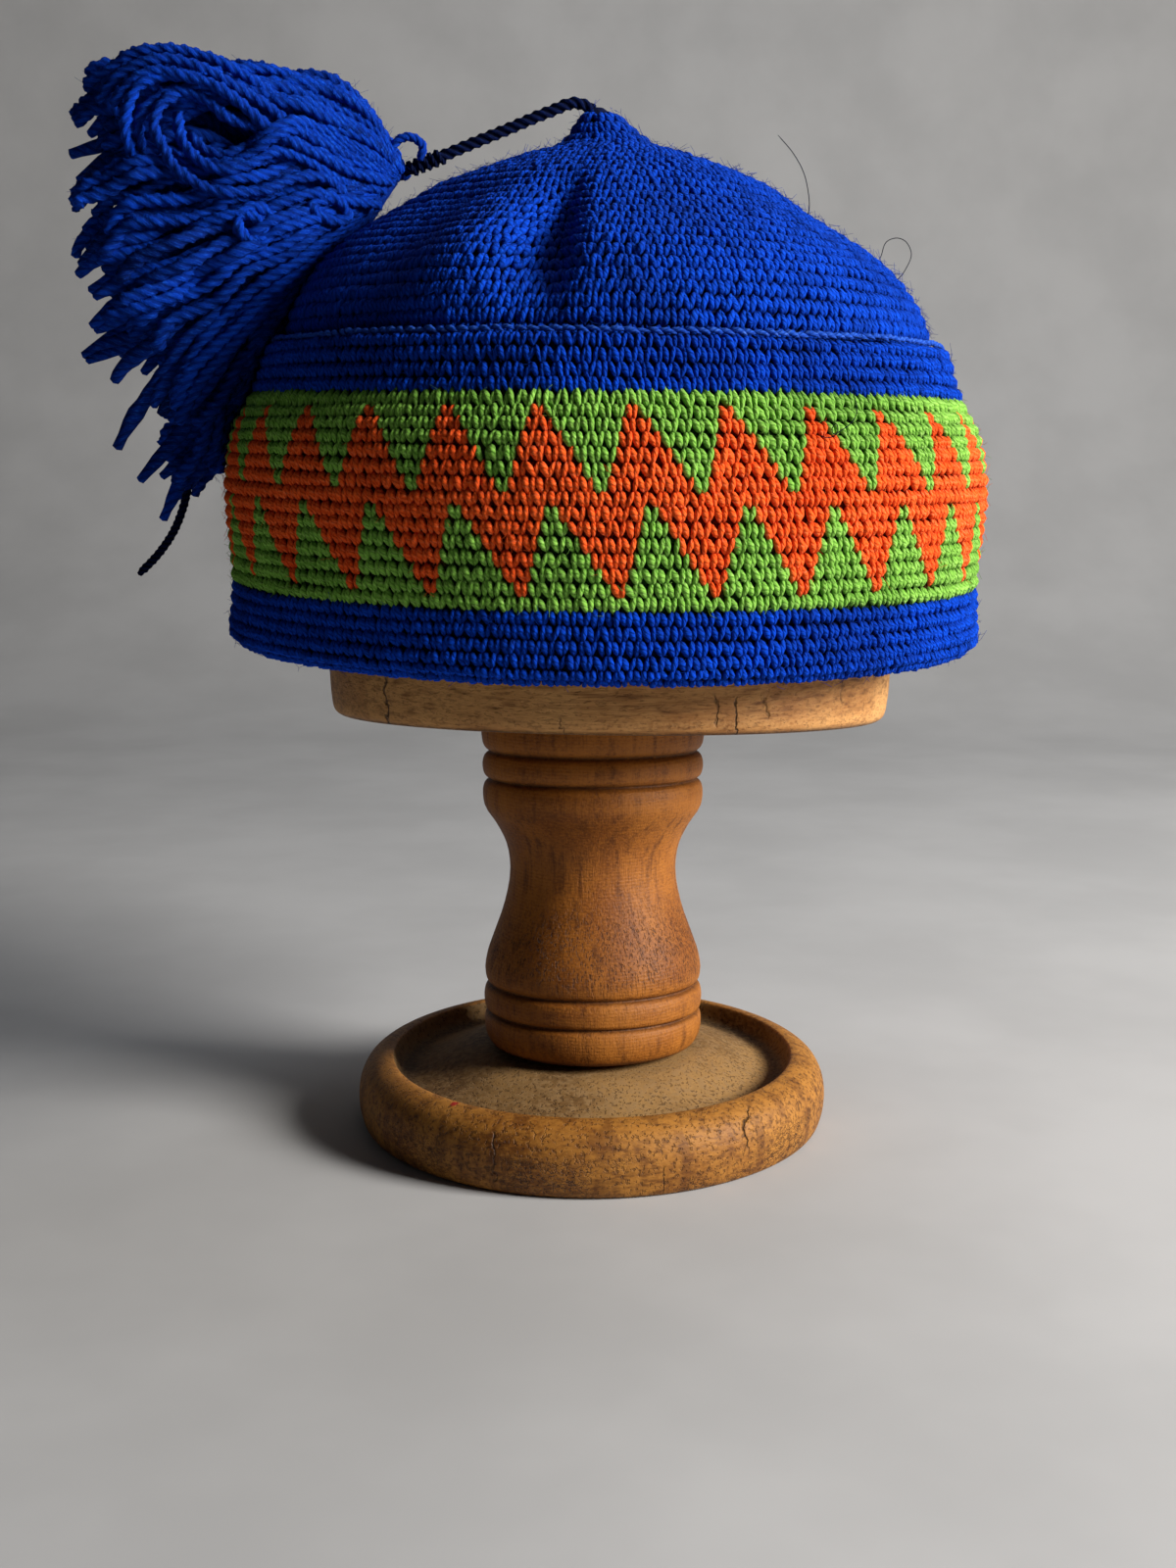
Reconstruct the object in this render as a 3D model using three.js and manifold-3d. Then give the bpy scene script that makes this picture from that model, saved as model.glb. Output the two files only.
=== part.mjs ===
// Peaked crocheted hat with a yarn pom-pom, standing on a turned wooden hat stand.
// Millimetres, +Z up, origin on the table under the middle of the stand's base.
// The hat's front is towards -Y and its pom-pom leans on the left side, towards -X.

import * as THREE from 'three';
import { mergeVertices } from 'three/addons/utils/BufferGeometryUtils.js';
import Module from 'manifold-3d';

const wasm = await Module();
wasm.setup();

// Driving dimensions
const GAP = 0.35;
const LEAN_DEG = 3.5;
const FLOOR_Z = 20;
const FOOT_X = 0.3;
const FOOT_Y = -1.5;
const BLOCK_SHIFT_X = 4.3;
const BLOCK_ROLL_DEG = 0.7;
const BLOCK_LIFT = 0.5;
const HAT_X = 3.4;
const HAT_Y = 4;
const HAT_Z = 160;
const HAT_TILT_DEG = 1.5;
const HAT_ROLL_DEG = 0.6;
const CUFF_WALL = 3.6;
const CROWN_WALL = 3.6;
const CROWN_INSIDE_CUFF = CUFF_WALL + GAP;
const CORD_DIAMETER = 3;
const TAIL_DIAMETER = 2.2;

// Counts of facets
const BASE_FACETS = 44;
const SPINDLE_FACETS = 32;
const BLOCK_FACETS = 36;
const HAT_FACETS = 48;
const LOCK_SIDES = 6;
const LOCK_RINGS = 5;
const CORD_SIDES = 8;
const CORD_STEPS = 10;

// Colours of the yarns and the wood
const BLUE_WOOL = new THREE.MeshStandardMaterial({ color: 0x1238b8, roughness: 0.95, metalness: 0 });
const BAND_WOOL = new THREE.MeshStandardMaterial({ color: 0xe2541c, roughness: 0.95, metalness: 0 });
const TURNED_WOOD = new THREE.MeshStandardMaterial({ color: 0x8a5526, roughness: 0.55, metalness: 0 });

// Profile of the base: radius, height
const BASE_PROFILE = [
  { radius: 0, height: 0 },
  { radius: 61.6, height: 0 },
  { radius: 63.2, height: 3 },
  { radius: 63.8, height: 7.5 },
  { radius: 63.2, height: 12 },
  { radius: 61.4, height: 15.4 },
  { radius: 58, height: 17.7 },
  { radius: 54.8, height: 18.2 },
  { radius: 53.6, height: 17.4 },
  { radius: 52.6, height: 14.8 },
  { radius: 49.5, height: 13.6 },
  { radius: 44, height: 15 },
  { radius: 36, height: 18.4 },
  { radius: 31, height: FLOOR_Z },
  { radius: 0, height: FLOOR_Z },
];

// Profile of the spindle along its own axis: radius, height above the table
const SPINDLE_PROFILE = [
  { radius: 0, height: 12 },
  { radius: 25.2, height: 12 },
  { radius: 26, height: 19.4 },
  { radius: 28.5, height: 22.2 },
  { radius: 29.5, height: 25.6 },
  { radius: 29.3, height: 28.8 },
  { radius: 28.1, height: 30.4 },
  { radius: 29.4, height: 32 },
  { radius: 29.4, height: 35.8 },
  { radius: 27.9, height: 37.9 },
  { radius: 29.1, height: 40 },
  { radius: 28.8, height: 45.5 },
  { radius: 27.2, height: 50.3 },
  { radius: 23.9, height: 59.8 },
  { radius: 22.4, height: 69.3 },
  { radius: 23.4, height: 76 },
  { radius: 26.1, height: 81.5 },
  { radius: 29.3, height: 86.4 },
  { radius: 29.4, height: 91.2 },
  { radius: 28.1, height: 93.6 },
  { radius: 29.5, height: 96 },
  { radius: 29.5, height: 98.8 },
  { radius: 28.1, height: 101 },
  { radius: 29.6, height: 103.4 },
  { radius: 29.7, height: 109.6 },
  { radius: 0, height: 109.6 },
];

// Profile of the hat block along the same leaning axis: radius, height above the table
const BLOCK_PROFILE = [
  { radius: 0, height: 110 },
  { radius: 69.8, height: 110 },
  { radius: 72.6, height: 111.4 },
  { radius: 73.6, height: 114.4 },
  { radius: 74.4, height: 124 },
  { radius: 74.8, height: 150 },
  { radius: 73.6, height: 172 },
  { radius: 69.5, height: 192 },
  { radius: 61.5, height: 208 },
  { radius: 50, height: 221 },
  { radius: 35, height: 231.5 },
  { radius: 18, height: 238.5 },
  { radius: 0, height: 241 },
];

// Profile of the cuff's outer face: radius, height above the table
const CUFF_PROFILE = [
  { radius: 95, height: 131.6 },
  { radius: 97.2, height: 133.4 },
  { radius: 97, height: 140 },
  { radius: 96.5, height: 148 },
  { radius: 97.2, height: 158 },
  { radius: 97.8, height: 168 },
  { radius: 97.3, height: 177 },
  { radius: 95.2, height: 185.5 },
  { radius: 91.2, height: 192.5 },
  { radius: 88.6, height: 199 },
  { radius: 86.2, height: 205.2 },
];

// Profile of the crown's outer face above the cuff: radius, height above the table
const CROWN_PROFILE = [
  { radius: 82.1, height: 205.6 },
  { radius: 81.5, height: 210.4 },
  { radius: 79.6, height: 215.2 },
  { radius: 76.6, height: 219.8 },
  { radius: 72.2, height: 225 },
  { radius: 66.6, height: 229.4 },
  { radius: 59.6, height: 233.8 },
  { radius: 51.3, height: 238.7 },
  { radius: 41.4, height: 245.2 },
  { radius: 31.4, height: 249.4 },
  { radius: 22.1, height: 252.8 },
  { radius: 13.6, height: 255.4 },
  { radius: 10, height: 257.8 },
  { radius: 7.3, height: 261 },
  { radius: 4.8, height: 263.9 },
  { radius: 2.2, height: 265.6 },
];
const APEX_HEIGHT = 266;
const INNER_APEX_HEIGHT = 252;

// Folds of the crown: azimuth from the front towards +X, spread each way, depth, height range
const CROWN_FOLDS = [
  { azimuth: -7.5, toLeft: 7.5, toRight: 3.6, depth: 8.5, height: 226, below: 11, above: 12 },
  { azimuth: -22, toLeft: 9, toRight: 8, depth: -3.2, height: 228, below: 15, above: 12 },
  { azimuth: -42, toLeft: 12, toRight: 8, depth: 3.4, height: 229, below: 14, above: 12 },
  { azimuth: 62, toLeft: 22, toRight: 20, depth: 1.6, height: 232, below: 14, above: 12 },
  { azimuth: 150, toLeft: 16, toRight: 14, depth: 3.6, height: 230, below: 12, above: 12 },
  { azimuth: -122, toLeft: 18, toRight: 14, depth: 2.8, height: 230, below: 12, above: 12 },
  { azimuth: -86, toLeft: 30, toRight: 34, depth: -3.4, height: 237, below: 13, above: 9 },
];

// Lean of the peak to the left, above the height where it starts
const PEAK_START = 254;
const PEAK_LEAN = -0.24;

// Locks of the pom-pom seen from the front: end x and z, bend x and z, thickness
const LOCK_FANS = [
  { endX: -122, endZ: 256, bendX: -88, bendZ: 275, thick: 7.5 },
  { endX: -130, endZ: 250, bendX: -92, bendZ: 266, thick: 8 },
  { endX: -131, endZ: 238, bendX: -90, bendZ: 256, thick: 8 },
  { endX: -131, endZ: 226, bendX: -90, bendZ: 243, thick: 8 },
  { endX: -127, endZ: 214, bendX: -88, bendZ: 235, thick: 8 },
  { endX: -117, endZ: 202, bendX: -86, bendZ: 231, thick: 7.5 },
  { endX: -113, endZ: 169, bendX: -99, bendZ: 233, thick: 6.5 },
  { endX: -102, endZ: 180, bendX: -92, bendZ: 231, thick: 6 },
];
// Layers of locks from front to back: offset along Y, how far each reaches, how far it droops
const LOCK_LAYERS = [
  { offsetY: -30, reach: 0.87, droop: 5 },
  { offsetY: -4, reach: 1, droop: 0 },
  { offsetY: 22, reach: 0.9, droop: 4 },
];
const TIE = new THREE.Vector3(-47.5, -2, 249.5);
const POMPOM_MIDDLE = new THREE.Vector3(-90, -5, 238);
const POMPOM_CORE = new THREE.Vector3(26, 27, 23);

// Path of the cord from the peak to the pom-pom
const CORD_PATH = [
  new THREE.Vector3(0.6, 0.4, 264.6),
  new THREE.Vector3(-3.6, 0, 266.2),
  new THREE.Vector3(-10.8, -0.4, 264),
  new THREE.Vector3(-20.6, -1, 260),
  new THREE.Vector3(-30.6, -1.6, 256),
  new THREE.Vector3(-40.5, -2, 252),
  new THREE.Vector3(-47.5, -2, 249.3),
];

// Path of the loose yarn under the pom-pom
const TAIL_PATH = [
  new THREE.Vector3(-103, -6, 181),
  new THREE.Vector3(-103.6, -6, 174),
  new THREE.Vector3(-105.4, -6.4, 166),
  new THREE.Vector3(-107.8, -7, 160),
  new THREE.Vector3(-111.8, -8, 154),
  new THREE.Vector3(-117, -9, 148.6),
];

function toRadians(degrees) {
  return THREE.MathUtils.degToRad(degrees);
}

function toSolid(geometry) {
  const bare = geometry.clone();
  bare.deleteAttribute('normal');
  bare.deleteAttribute('uv');
  const merged = mergeVertices(bare, 1e-4);
  const mesh = new wasm.Mesh({
    numProp: 3,
    vertProperties: new Float32Array(merged.attributes.position.array),
    triVerts: new Uint32Array(merged.index.array),
  });
  return new wasm.Manifold(mesh);
}

function toGeometry(solid) {
  const mesh = solid.getMesh();
  const geometry = new THREE.BufferGeometry();
  geometry.setAttribute('position', new THREE.BufferAttribute(mesh.vertProperties, 3));
  geometry.setIndex(new THREE.BufferAttribute(mesh.triVerts, 1));
  geometry.computeVertexNormals();
  return geometry;
}

// Turned solid about +Z
function turned(profile, facets) {
  const points = profile.map((row) => new THREE.Vector2(row.radius, row.height));
  return new THREE.LatheGeometry(points, facets).rotateX(Math.PI / 2);
}

// Closed surface from rings of equal length, with a point at each end
function skinOverRings(rings, startPoint, endPoint) {
  const positions = [];
  const indices = [];
  const count = rings[0].length;
  rings.forEach((ring) => ring.forEach((point) => positions.push(point.x, point.y, point.z)));
  positions.push(startPoint.x, startPoint.y, startPoint.z);
  positions.push(endPoint.x, endPoint.y, endPoint.z);
  const startIndex = rings.length * count;
  const endIndex = startIndex + 1;
  const lastRing = (rings.length - 1) * count;
  for (let side = 0; side < count; side += 1) {
    const next = (side + 1) % count;
    indices.push(startIndex, next, side);
    indices.push(endIndex, lastRing + side, lastRing + next);
    for (let ring = 0; ring + 1 < rings.length; ring += 1) {
      const low = ring * count;
      const high = low + count;
      indices.push(low + side, low + next, high + next);
      indices.push(low + side, high + next, high + side);
    }
  }
  const geometry = new THREE.BufferGeometry();
  geometry.setAttribute('position', new THREE.Float32BufferAttribute(positions, 3));
  geometry.setIndex(indices);
  return geometry;
}

// How far the folds push the crown in at an azimuth and height
function foldDepth(azimuth, height) {
  let depth = 0;
  CROWN_FOLDS.forEach((fold) => {
    let turn = azimuth - fold.azimuth;
    turn -= 360 * Math.round(turn / 360);
    const across = turn / (turn < 0 ? fold.toLeft : fold.toRight);
    const rise = height - fold.height;
    const along = rise / (rise < 0 ? fold.below : fold.above);
    depth += fold.depth * Math.exp(-across * across - along * along);
  });
  return depth;
}

// Ring of the crown at a radius and height, set in along its own normal by a wall thickness
function crownRing(radius, height, inset, drop) {
  const ring = [];
  for (let side = 0; side < HAT_FACETS; side += 1) {
    const angle = (2 * Math.PI * side) / HAT_FACETS;
    const azimuth = THREE.MathUtils.radToDeg(angle) + 90;
    const reach = Math.max(0.6, radius - foldDepth(azimuth, height) - inset);
    const lean = Math.max(0, height - PEAK_START) * PEAK_LEAN;
    const x = lean + reach * Math.cos(angle);
    const y = reach * Math.sin(angle);
    ring.push(new THREE.Vector3(x, y, height - drop - HAT_Z));
  }
  return ring;
}

// Unit direction out of a profile at one of its rows
function outwardOf(profile, row) {
  const before = profile[Math.max(0, row - 1)];
  const after = profile[Math.min(profile.length - 1, row + 1)];
  return new THREE.Vector2(after.height - before.height, before.radius - after.radius).normalize();
}

const WALL_PROFILE = CUFF_PROFILE
  .map((row) => ({ radius: row.radius - CROWN_INSIDE_CUFF, height: row.height }))
  .concat(CROWN_PROFILE);
WALL_PROFILE[0].height += GAP;

// Crown: outer face down to the rim, then the inner face up under the peak
function crownSolid(extra) {
  const outer = WALL_PROFILE.map((row, index) => {
    const out = outwardOf(WALL_PROFILE, index);
    return crownRing(row.radius + extra * out.x, row.height, 0, -extra * out.y);
  });
  if (extra > 0) {
    const bottom = new THREE.Vector3(0, 0, WALL_PROFILE[0].height - HAT_Z);
    const top = new THREE.Vector3(0, 0, APEX_HEIGHT + extra - HAT_Z);
    return toSolid(skinOverRings(outer, bottom, top));
  }
  const inner = [];
  WALL_PROFILE.forEach((row, index) => {
    const out = outwardOf(WALL_PROFILE, index);
    if (index % 2 === 0 && row.height < PEAK_START) {
      inner.push(crownRing(row.radius, row.height, CROWN_WALL * out.x, CROWN_WALL * out.y));
    }
  });
  const lean = (APEX_HEIGHT - PEAK_START) * PEAK_LEAN;
  const top = new THREE.Vector3(lean, 0, APEX_HEIGHT - HAT_Z);
  const roof = new THREE.Vector3(0, 0, INNER_APEX_HEIGHT - CROWN_WALL - HAT_Z);
  const rings = inner.reverse().concat(outer);
  return toSolid(skinOverRings(rings, roof, top));
}

// Cuff: outer face, rounded top edge, inner face; two ends are merged into one band
function cuffSolid(extra) {
  const outer = CUFF_PROFILE.map((row) => new THREE.Vector2(row.radius + extra, row.height - HAT_Z));
  const last = CUFF_PROFILE[CUFF_PROFILE.length - 1];
  const crest = new THREE.Vector2(last.radius - CUFF_WALL / 2 + extra, last.height + 1.5 - HAT_Z);
  if (extra > 0) {
    const low = new THREE.Vector2(0, CUFF_PROFILE[0].height - HAT_Z);
    const high = new THREE.Vector2(0, crest.y);
    return toSolid(new THREE.LatheGeometry([low, ...outer, crest, high], HAT_FACETS).rotateX(Math.PI / 2));
  }
  const inner = outer.map((point) => new THREE.Vector2(point.x - CUFF_WALL, point.y)).reverse();
  const loop = [...outer, crest, ...inner, outer[0].clone()];
  return toSolid(new THREE.LatheGeometry(loop, HAT_FACETS).rotateX(Math.PI / 2));
}

// Round yarn along a path
function yarnSolid(path, diameter) {
  const curve = new THREE.CatmullRomCurve3(path);
  const outline = new THREE.Shape();
  for (let side = 0; side < CORD_SIDES; side += 1) {
    const angle = (2 * Math.PI * side) / CORD_SIDES;
    const x = (diameter / 2) * Math.cos(angle);
    const y = (diameter / 2) * Math.sin(angle);
    if (side === 0) {
      outline.moveTo(x, y);
    } else {
      outline.lineTo(x, y);
    }
  }
  outline.closePath();
  const options = { steps: CORD_STEPS, bevelEnabled: false, extrudePath: curve };
  return toSolid(new THREE.ExtrudeGeometry(outline, options));
}

// One lock of yarn: a bent spindle shape, thick past its middle and blunt at its end
function lockSolid(start, bend, end, thick) {
  const curve = new THREE.QuadraticBezierCurve3(start, bend, end);
  const rings = [];
  for (let step = 0; step < LOCK_RINGS; step += 1) {
    const share = (step + 0.5) / LOCK_RINGS;
    const middle = curve.getPoint(share);
    const along = curve.getTangent(share);
    const across = new THREE.Vector3(0, 1, 0).cross(along).normalize();
    const over = along.clone().cross(across);
    const swell = 0.35 + 0.65 * Math.sin(Math.PI * Math.min(0.86, 0.1 + 0.72 * share));
    const ring = [];
    for (let side = 0; side < LOCK_SIDES; side += 1) {
      const angle = (2 * Math.PI * side) / LOCK_SIDES;
      const point = middle.clone();
      point.addScaledVector(across, thick * swell * Math.cos(angle));
      point.addScaledVector(over, thick * swell * Math.sin(angle) * 1.35);
      ring.push(point);
    }
    rings.push(ring);
  }
  return toSolid(skinOverRings(rings, start, end));
}

function pompomSolid() {
  const core = new THREE.SphereGeometry(1, 14, 9);
  core.scale(POMPOM_CORE.x, POMPOM_CORE.y, POMPOM_CORE.z);
  core.translate(POMPOM_MIDDLE.x, POMPOM_MIDDLE.y, POMPOM_MIDDLE.z);
  let head = toSolid(core);
  LOCK_LAYERS.forEach((layer) => {
    LOCK_FANS.forEach((fan) => {
      const start = TIE.clone();
      const bend = new THREE.Vector3(fan.bendX, TIE.y + layer.offsetY * 1.05, fan.bendZ - layer.droop);
      const end = new THREE.Vector3(fan.endX, TIE.y + layer.offsetY * 0.9, fan.endZ - layer.droop);
      end.sub(start).multiplyScalar(layer.reach).add(start);
      head = head.add(lockSolid(start, bend, end, fan.thick));
    });
  });
  return head;
}

// Stand: the spindle and the block share one axis that leans back a little
const lean = new THREE.Matrix4().makeRotationX(-toRadians(LEAN_DEG));
lean.premultiply(new THREE.Matrix4().makeTranslation(FOOT_X, FOOT_Y, FLOOR_Z));
lean.multiply(new THREE.Matrix4().makeTranslation(0, 0, -FLOOR_Z));

const baseGeometry = turned(BASE_PROFILE, BASE_FACETS);

const underFloor = new THREE.BoxGeometry(90, 90, 40);
underFloor.translate(0, 0, FLOOR_Z + GAP - 20);
const spindleTurned = turned(SPINDLE_PROFILE, SPINDLE_FACETS).applyMatrix4(lean);
const spindleGeometry = toGeometry(toSolid(spindleTurned).subtract(toSolid(underFloor)));

const blockGeometry = turned(BLOCK_PROFILE, BLOCK_FACETS);
blockGeometry.translate(0, 0, -BLOCK_PROFILE[0].height);
blockGeometry.rotateY(toRadians(BLOCK_ROLL_DEG));
blockGeometry.translate(BLOCK_SHIFT_X, 0, BLOCK_PROFILE[0].height + BLOCK_LIFT);
blockGeometry.applyMatrix4(lean);

// Hat: tilted forward a little on its block
const hatPlace = new THREE.Matrix4().makeTranslation(HAT_X, HAT_Y, HAT_Z);
hatPlace.multiply(new THREE.Matrix4().makeRotationX(toRadians(HAT_TILT_DEG)));
hatPlace.multiply(new THREE.Matrix4().makeRotationY(toRadians(HAT_ROLL_DEG)));

function placedOnHat(solid) {
  return toSolid(toGeometry(solid).applyMatrix4(hatPlace));
}

const cordRoom = yarnSolid(CORD_PATH, CORD_DIAMETER + 2 * GAP);
const tailRoom = yarnSolid(TAIL_PATH, TAIL_DIAMETER + 2 * GAP);
const crownGeometry = toGeometry(placedOnHat(crownSolid(0)).subtract(cordRoom));
const cuffGeometry = toGeometry(placedOnHat(cuffSolid(0)));
const hatRoom = placedOnHat(crownSolid(GAP * 2).add(cuffSolid(GAP * 2)));
const pompomGeometry = toGeometry(pompomSolid().subtract(hatRoom).subtract(cordRoom).subtract(tailRoom));
const cordGeometry = toGeometry(yarnSolid(CORD_PATH, CORD_DIAMETER));
const tailGeometry = toGeometry(yarnSolid(TAIL_PATH, TAIL_DIAMETER));

const PIECES = [
  { name: 'stand_base', geometry: baseGeometry, material: TURNED_WOOD },
  { name: 'stand_spindle', geometry: spindleGeometry, material: TURNED_WOOD },
  { name: 'stand_block', geometry: blockGeometry, material: TURNED_WOOD },
  { name: 'crown', geometry: crownGeometry, material: BLUE_WOOL },
  { name: 'cuff', geometry: cuffGeometry, material: BAND_WOOL },
  { name: 'cord', geometry: cordGeometry, material: BLUE_WOOL },
  { name: 'pompom', geometry: pompomGeometry, material: BLUE_WOOL },
  { name: 'pompom_tail', geometry: tailGeometry, material: BLUE_WOOL },
];

const hatOnStand = new THREE.Group();
PIECES.forEach((piece) => {
  const mesh = new THREE.Mesh(piece.geometry, piece.material);
  mesh.name = piece.name;
  hatOnStand.add(mesh);
});

export default hatOnStand;
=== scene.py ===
"""Peaked crocheted hat with a yarn pom-pom, standing on a turned wooden hat stand.

Sizes in the makers' tables are millimetres and become metres when a mesh is made. +Z is up, the
hat's front is towards -Y, and its pom-pom leans on the left side, towards -X.
"""

from __future__ import annotations

import logging
import math
from collections.abc import Callable
from dataclasses import dataclass, field
from enum import Enum
from functools import cache

import bpy
import numpy as np
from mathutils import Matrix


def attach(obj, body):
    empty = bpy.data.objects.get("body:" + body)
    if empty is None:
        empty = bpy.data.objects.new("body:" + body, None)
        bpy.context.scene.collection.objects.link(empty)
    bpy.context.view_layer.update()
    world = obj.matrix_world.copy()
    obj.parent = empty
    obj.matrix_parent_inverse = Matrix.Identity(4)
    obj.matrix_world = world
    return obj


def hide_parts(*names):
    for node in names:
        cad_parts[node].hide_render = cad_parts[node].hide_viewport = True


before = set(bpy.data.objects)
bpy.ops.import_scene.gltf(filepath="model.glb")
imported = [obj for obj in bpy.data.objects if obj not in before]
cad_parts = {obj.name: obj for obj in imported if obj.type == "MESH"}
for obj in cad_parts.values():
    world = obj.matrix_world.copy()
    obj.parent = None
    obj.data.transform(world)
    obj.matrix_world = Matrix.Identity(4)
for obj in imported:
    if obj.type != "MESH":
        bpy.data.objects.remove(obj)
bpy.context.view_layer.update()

log = logging.getLogger("hat")

MM = 0.001
TURN = 2 * math.pi


# Shared helpers


def linear(hex_colour: str) -> tuple[float, float, float, float]:
    """Turns an sRGB hex colour to linear light.

    Args:
        hex_colour: six hex digits, with or without a leading #.

    Returns:
        Linear red, green and blue, and an alpha of 1.
    """
    digits = hex_colour.lstrip("#")
    parts = np.array([int(digits[i : i + 2], 16) for i in (0, 2, 4)]) / 255
    light = np.where(parts <= 0.04045, parts / 12.92, ((parts + 0.055) / 1.055) ** 2.4)
    return (float(light[0]), float(light[1]), float(light[2]), 1.0)


def rotation_x(degrees: float) -> np.ndarray:
    """Returns the 3 x 3 turn about X."""
    c, s = math.cos(math.radians(degrees)), math.sin(math.radians(degrees))
    return np.array([[1, 0, 0], [0, c, -s], [0, s, c]])


def rotation_y(degrees: float) -> np.ndarray:
    """Returns the 3 x 3 turn about Y."""
    c, s = math.cos(math.radians(degrees)), math.sin(math.radians(degrees))
    return np.array([[c, 0, s], [0, 1, 0], [-s, 0, c]])


def unit(vectors: np.ndarray) -> np.ndarray:
    """Returns the vectors at length one."""
    return vectors / np.maximum(np.linalg.norm(vectors, axis=-1, keepdims=True), 1e-9)


def ramp(values: np.ndarray, low: float, high: float) -> np.ndarray:
    """Rises smoothly from 0 at low to 1 at high, as 3t^2 - 2t^3."""
    t = np.clip((values - low) / (high - low), 0, 1)
    return t * t * (3 - 2 * t)


def smooth_line(rows: np.ndarray, steps: int, sharp: tuple[int, ...] = ()) -> np.ndarray:
    """Joins rows of points by cubic Hermite spans.

    The direction at a row is the mean of its two neighbouring spans' directions, each weighted by
    the other span's length. At a sharp row each span keeps its own straight direction.

    Args:
        rows: points, one a row, of any dimension.
        steps: points made for each span.
        sharp: numbers of the rows that stay corners.

    Returns:
        The points along the smooth line, first and last rows included.
    """
    rows = np.asarray(rows, float)
    step = np.diff(rows, axis=0)
    size = np.maximum(np.linalg.norm(step, axis=1, keepdims=True), 1e-9)
    way = step / size
    middle = (way[:-1] * size[1:] + way[1:] * size[:-1]) / (size[:-1] + size[1:])
    leave = np.vstack([way[:1], middle]) * size
    arrive = np.vstack([middle, way[-1:]]) * size
    for row in sharp:
        leave[row] = step[row]
        arrive[row - 1] = step[row - 1]
    t = np.linspace(0, 1, steps, endpoint=False)[:, None, None]
    points = (2 * t**3 - 3 * t**2 + 1) * rows[:-1] + (t**3 - 2 * t**2 + t) * leave
    points = points + (3 * t**2 - 2 * t**3) * rows[1:] + (t**3 - t**2) * arrive
    flat = points.transpose(1, 0, 2).reshape(-1, rows.shape[1])
    return np.vstack([flat, rows[-1:]])


def lengths_along(points: np.ndarray) -> np.ndarray:
    """Measures how far along its line each point lies.

    Args:
        points: lines x points x coordinates, or one line.

    Returns:
        The length walked to each point.
    """
    step = np.linalg.norm(np.diff(points, axis=-2), axis=-1)
    start = np.zeros(step.shape[:-1] + (1,))
    return np.concatenate([start, np.cumsum(step, axis=-1)], axis=-1)


def even_line(points: np.ndarray, count: int) -> np.ndarray:
    """Spaces points evenly by length along one line.

    Args:
        points: the line.
        count: how many points are wanted.

    Returns:
        The points.
    """
    walked = lengths_along(points)
    wanted = np.linspace(0, walked[-1], count)
    return np.stack([np.interp(wanted, walked, points[:, k]) for k in range(points.shape[1])], -1)


@dataclass(frozen=True)
class View:
    """The camera: its place in metres, its pitch down, its lens and the picture's pixels."""

    place: tuple[float, float, float] = (-0.001, -0.4675, 0.1725)
    pitch_deg: float = 9.77
    lens: float = 40.5
    sensor: float = 36.0
    picture: tuple[int, int] = (1200, 1600)

    def met(self, picks: np.ndarray, y: np.ndarray | float) -> np.ndarray:
        """Follows pixels' lines of sight to upright planes that face the front.

        A line of sight leaves at a across and b up for each unit ahead. With the pitch p and the
        plane yc from the camera, it rises by z = yc (b cos p - sin p) / (cos p + b sin p), and
        lies a (yc cos p - z sin p) to the side.

        Args:
            picks: places in the picture, across and down, in pixels.
            y: each plane's y, in millimetres.

        Returns:
            Their x and z in the frame, in millimetres.
        """
        focal = self.lens / self.sensor * self.picture[1]
        across = (picks[..., 0] - self.picture[0] / 2) / focal
        up = (self.picture[1] / 2 - picks[..., 1]) / focal
        cos, sin = math.cos(math.radians(self.pitch_deg)), math.sin(math.radians(self.pitch_deg))
        ahead = y * MM - self.place[1]
        rise = ahead * (up * cos - sin) / (cos + up * sin)
        side = across * (ahead * cos - rise * sin)
        return np.stack([side + self.place[0], rise + self.place[2]], -1) / MM


VIEW = View()


def place_piece(
    name: str,
    points: np.ndarray,
    faces: list[np.ndarray],
    material: bpy.types.Material,
    uvs: list[np.ndarray] | None = None,
    values: dict[str, np.ndarray] | None = None,
) -> bpy.types.Object:
    """Makes one smooth mesh piece that rides on the hat stand's only body.

    Args:
        name: the piece's name.
        points: n x 3 places in millimetres.
        faces: arrays of corner numbers, one array for quads and one for triangles.
        material: the finish.
        uvs: for each array of faces, the corners' two surface coordinates.
        values: numbers or linear colours for each point, by name.

    Returns:
        The new object, at the origin.
    """
    mesh = bpy.data.meshes.new(name)
    corners = np.concatenate([part.ravel() for part in faces]).astype(np.int32)
    sizes = np.concatenate([np.full(len(part), part.shape[1]) for part in faces])
    starts = np.concatenate([[0], np.cumsum(sizes)[:-1]]).astype(np.int32)
    mesh.vertices.add(len(points))
    mesh.vertices.foreach_set("co", (points * MM).astype(np.float32).ravel())
    mesh.loops.add(len(corners))
    mesh.loops.foreach_set("vertex_index", corners)
    mesh.polygons.add(len(sizes))
    mesh.polygons.foreach_set("loop_start", starts)
    if uvs is not None:
        layer = mesh.uv_layers.new(name="yarn")
        flat = np.concatenate([part.reshape(-1, 2) for part in uvs]).astype(np.float32)
        layer.data.foreach_set("uv", flat.ravel())
    for key, numbers in (values or {}).items():
        is_colour = numbers.ndim == 2
        kind = "FLOAT_COLOR" if is_colour else "FLOAT"
        entry = mesh.attributes.new(key, kind, "POINT")
        entry.data.foreach_set("color" if is_colour else "value", numbers.astype(np.float32).ravel())
    mesh.update(calc_edges=True)
    mesh.shade_smooth()
    mesh.materials.append(material)
    piece = bpy.data.objects.new(name, mesh)
    bpy.context.scene.collection.objects.link(piece)
    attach(piece, "root")
    log.info("%s: %d points, %d faces", name, len(points), len(sizes))
    return piece


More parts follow.
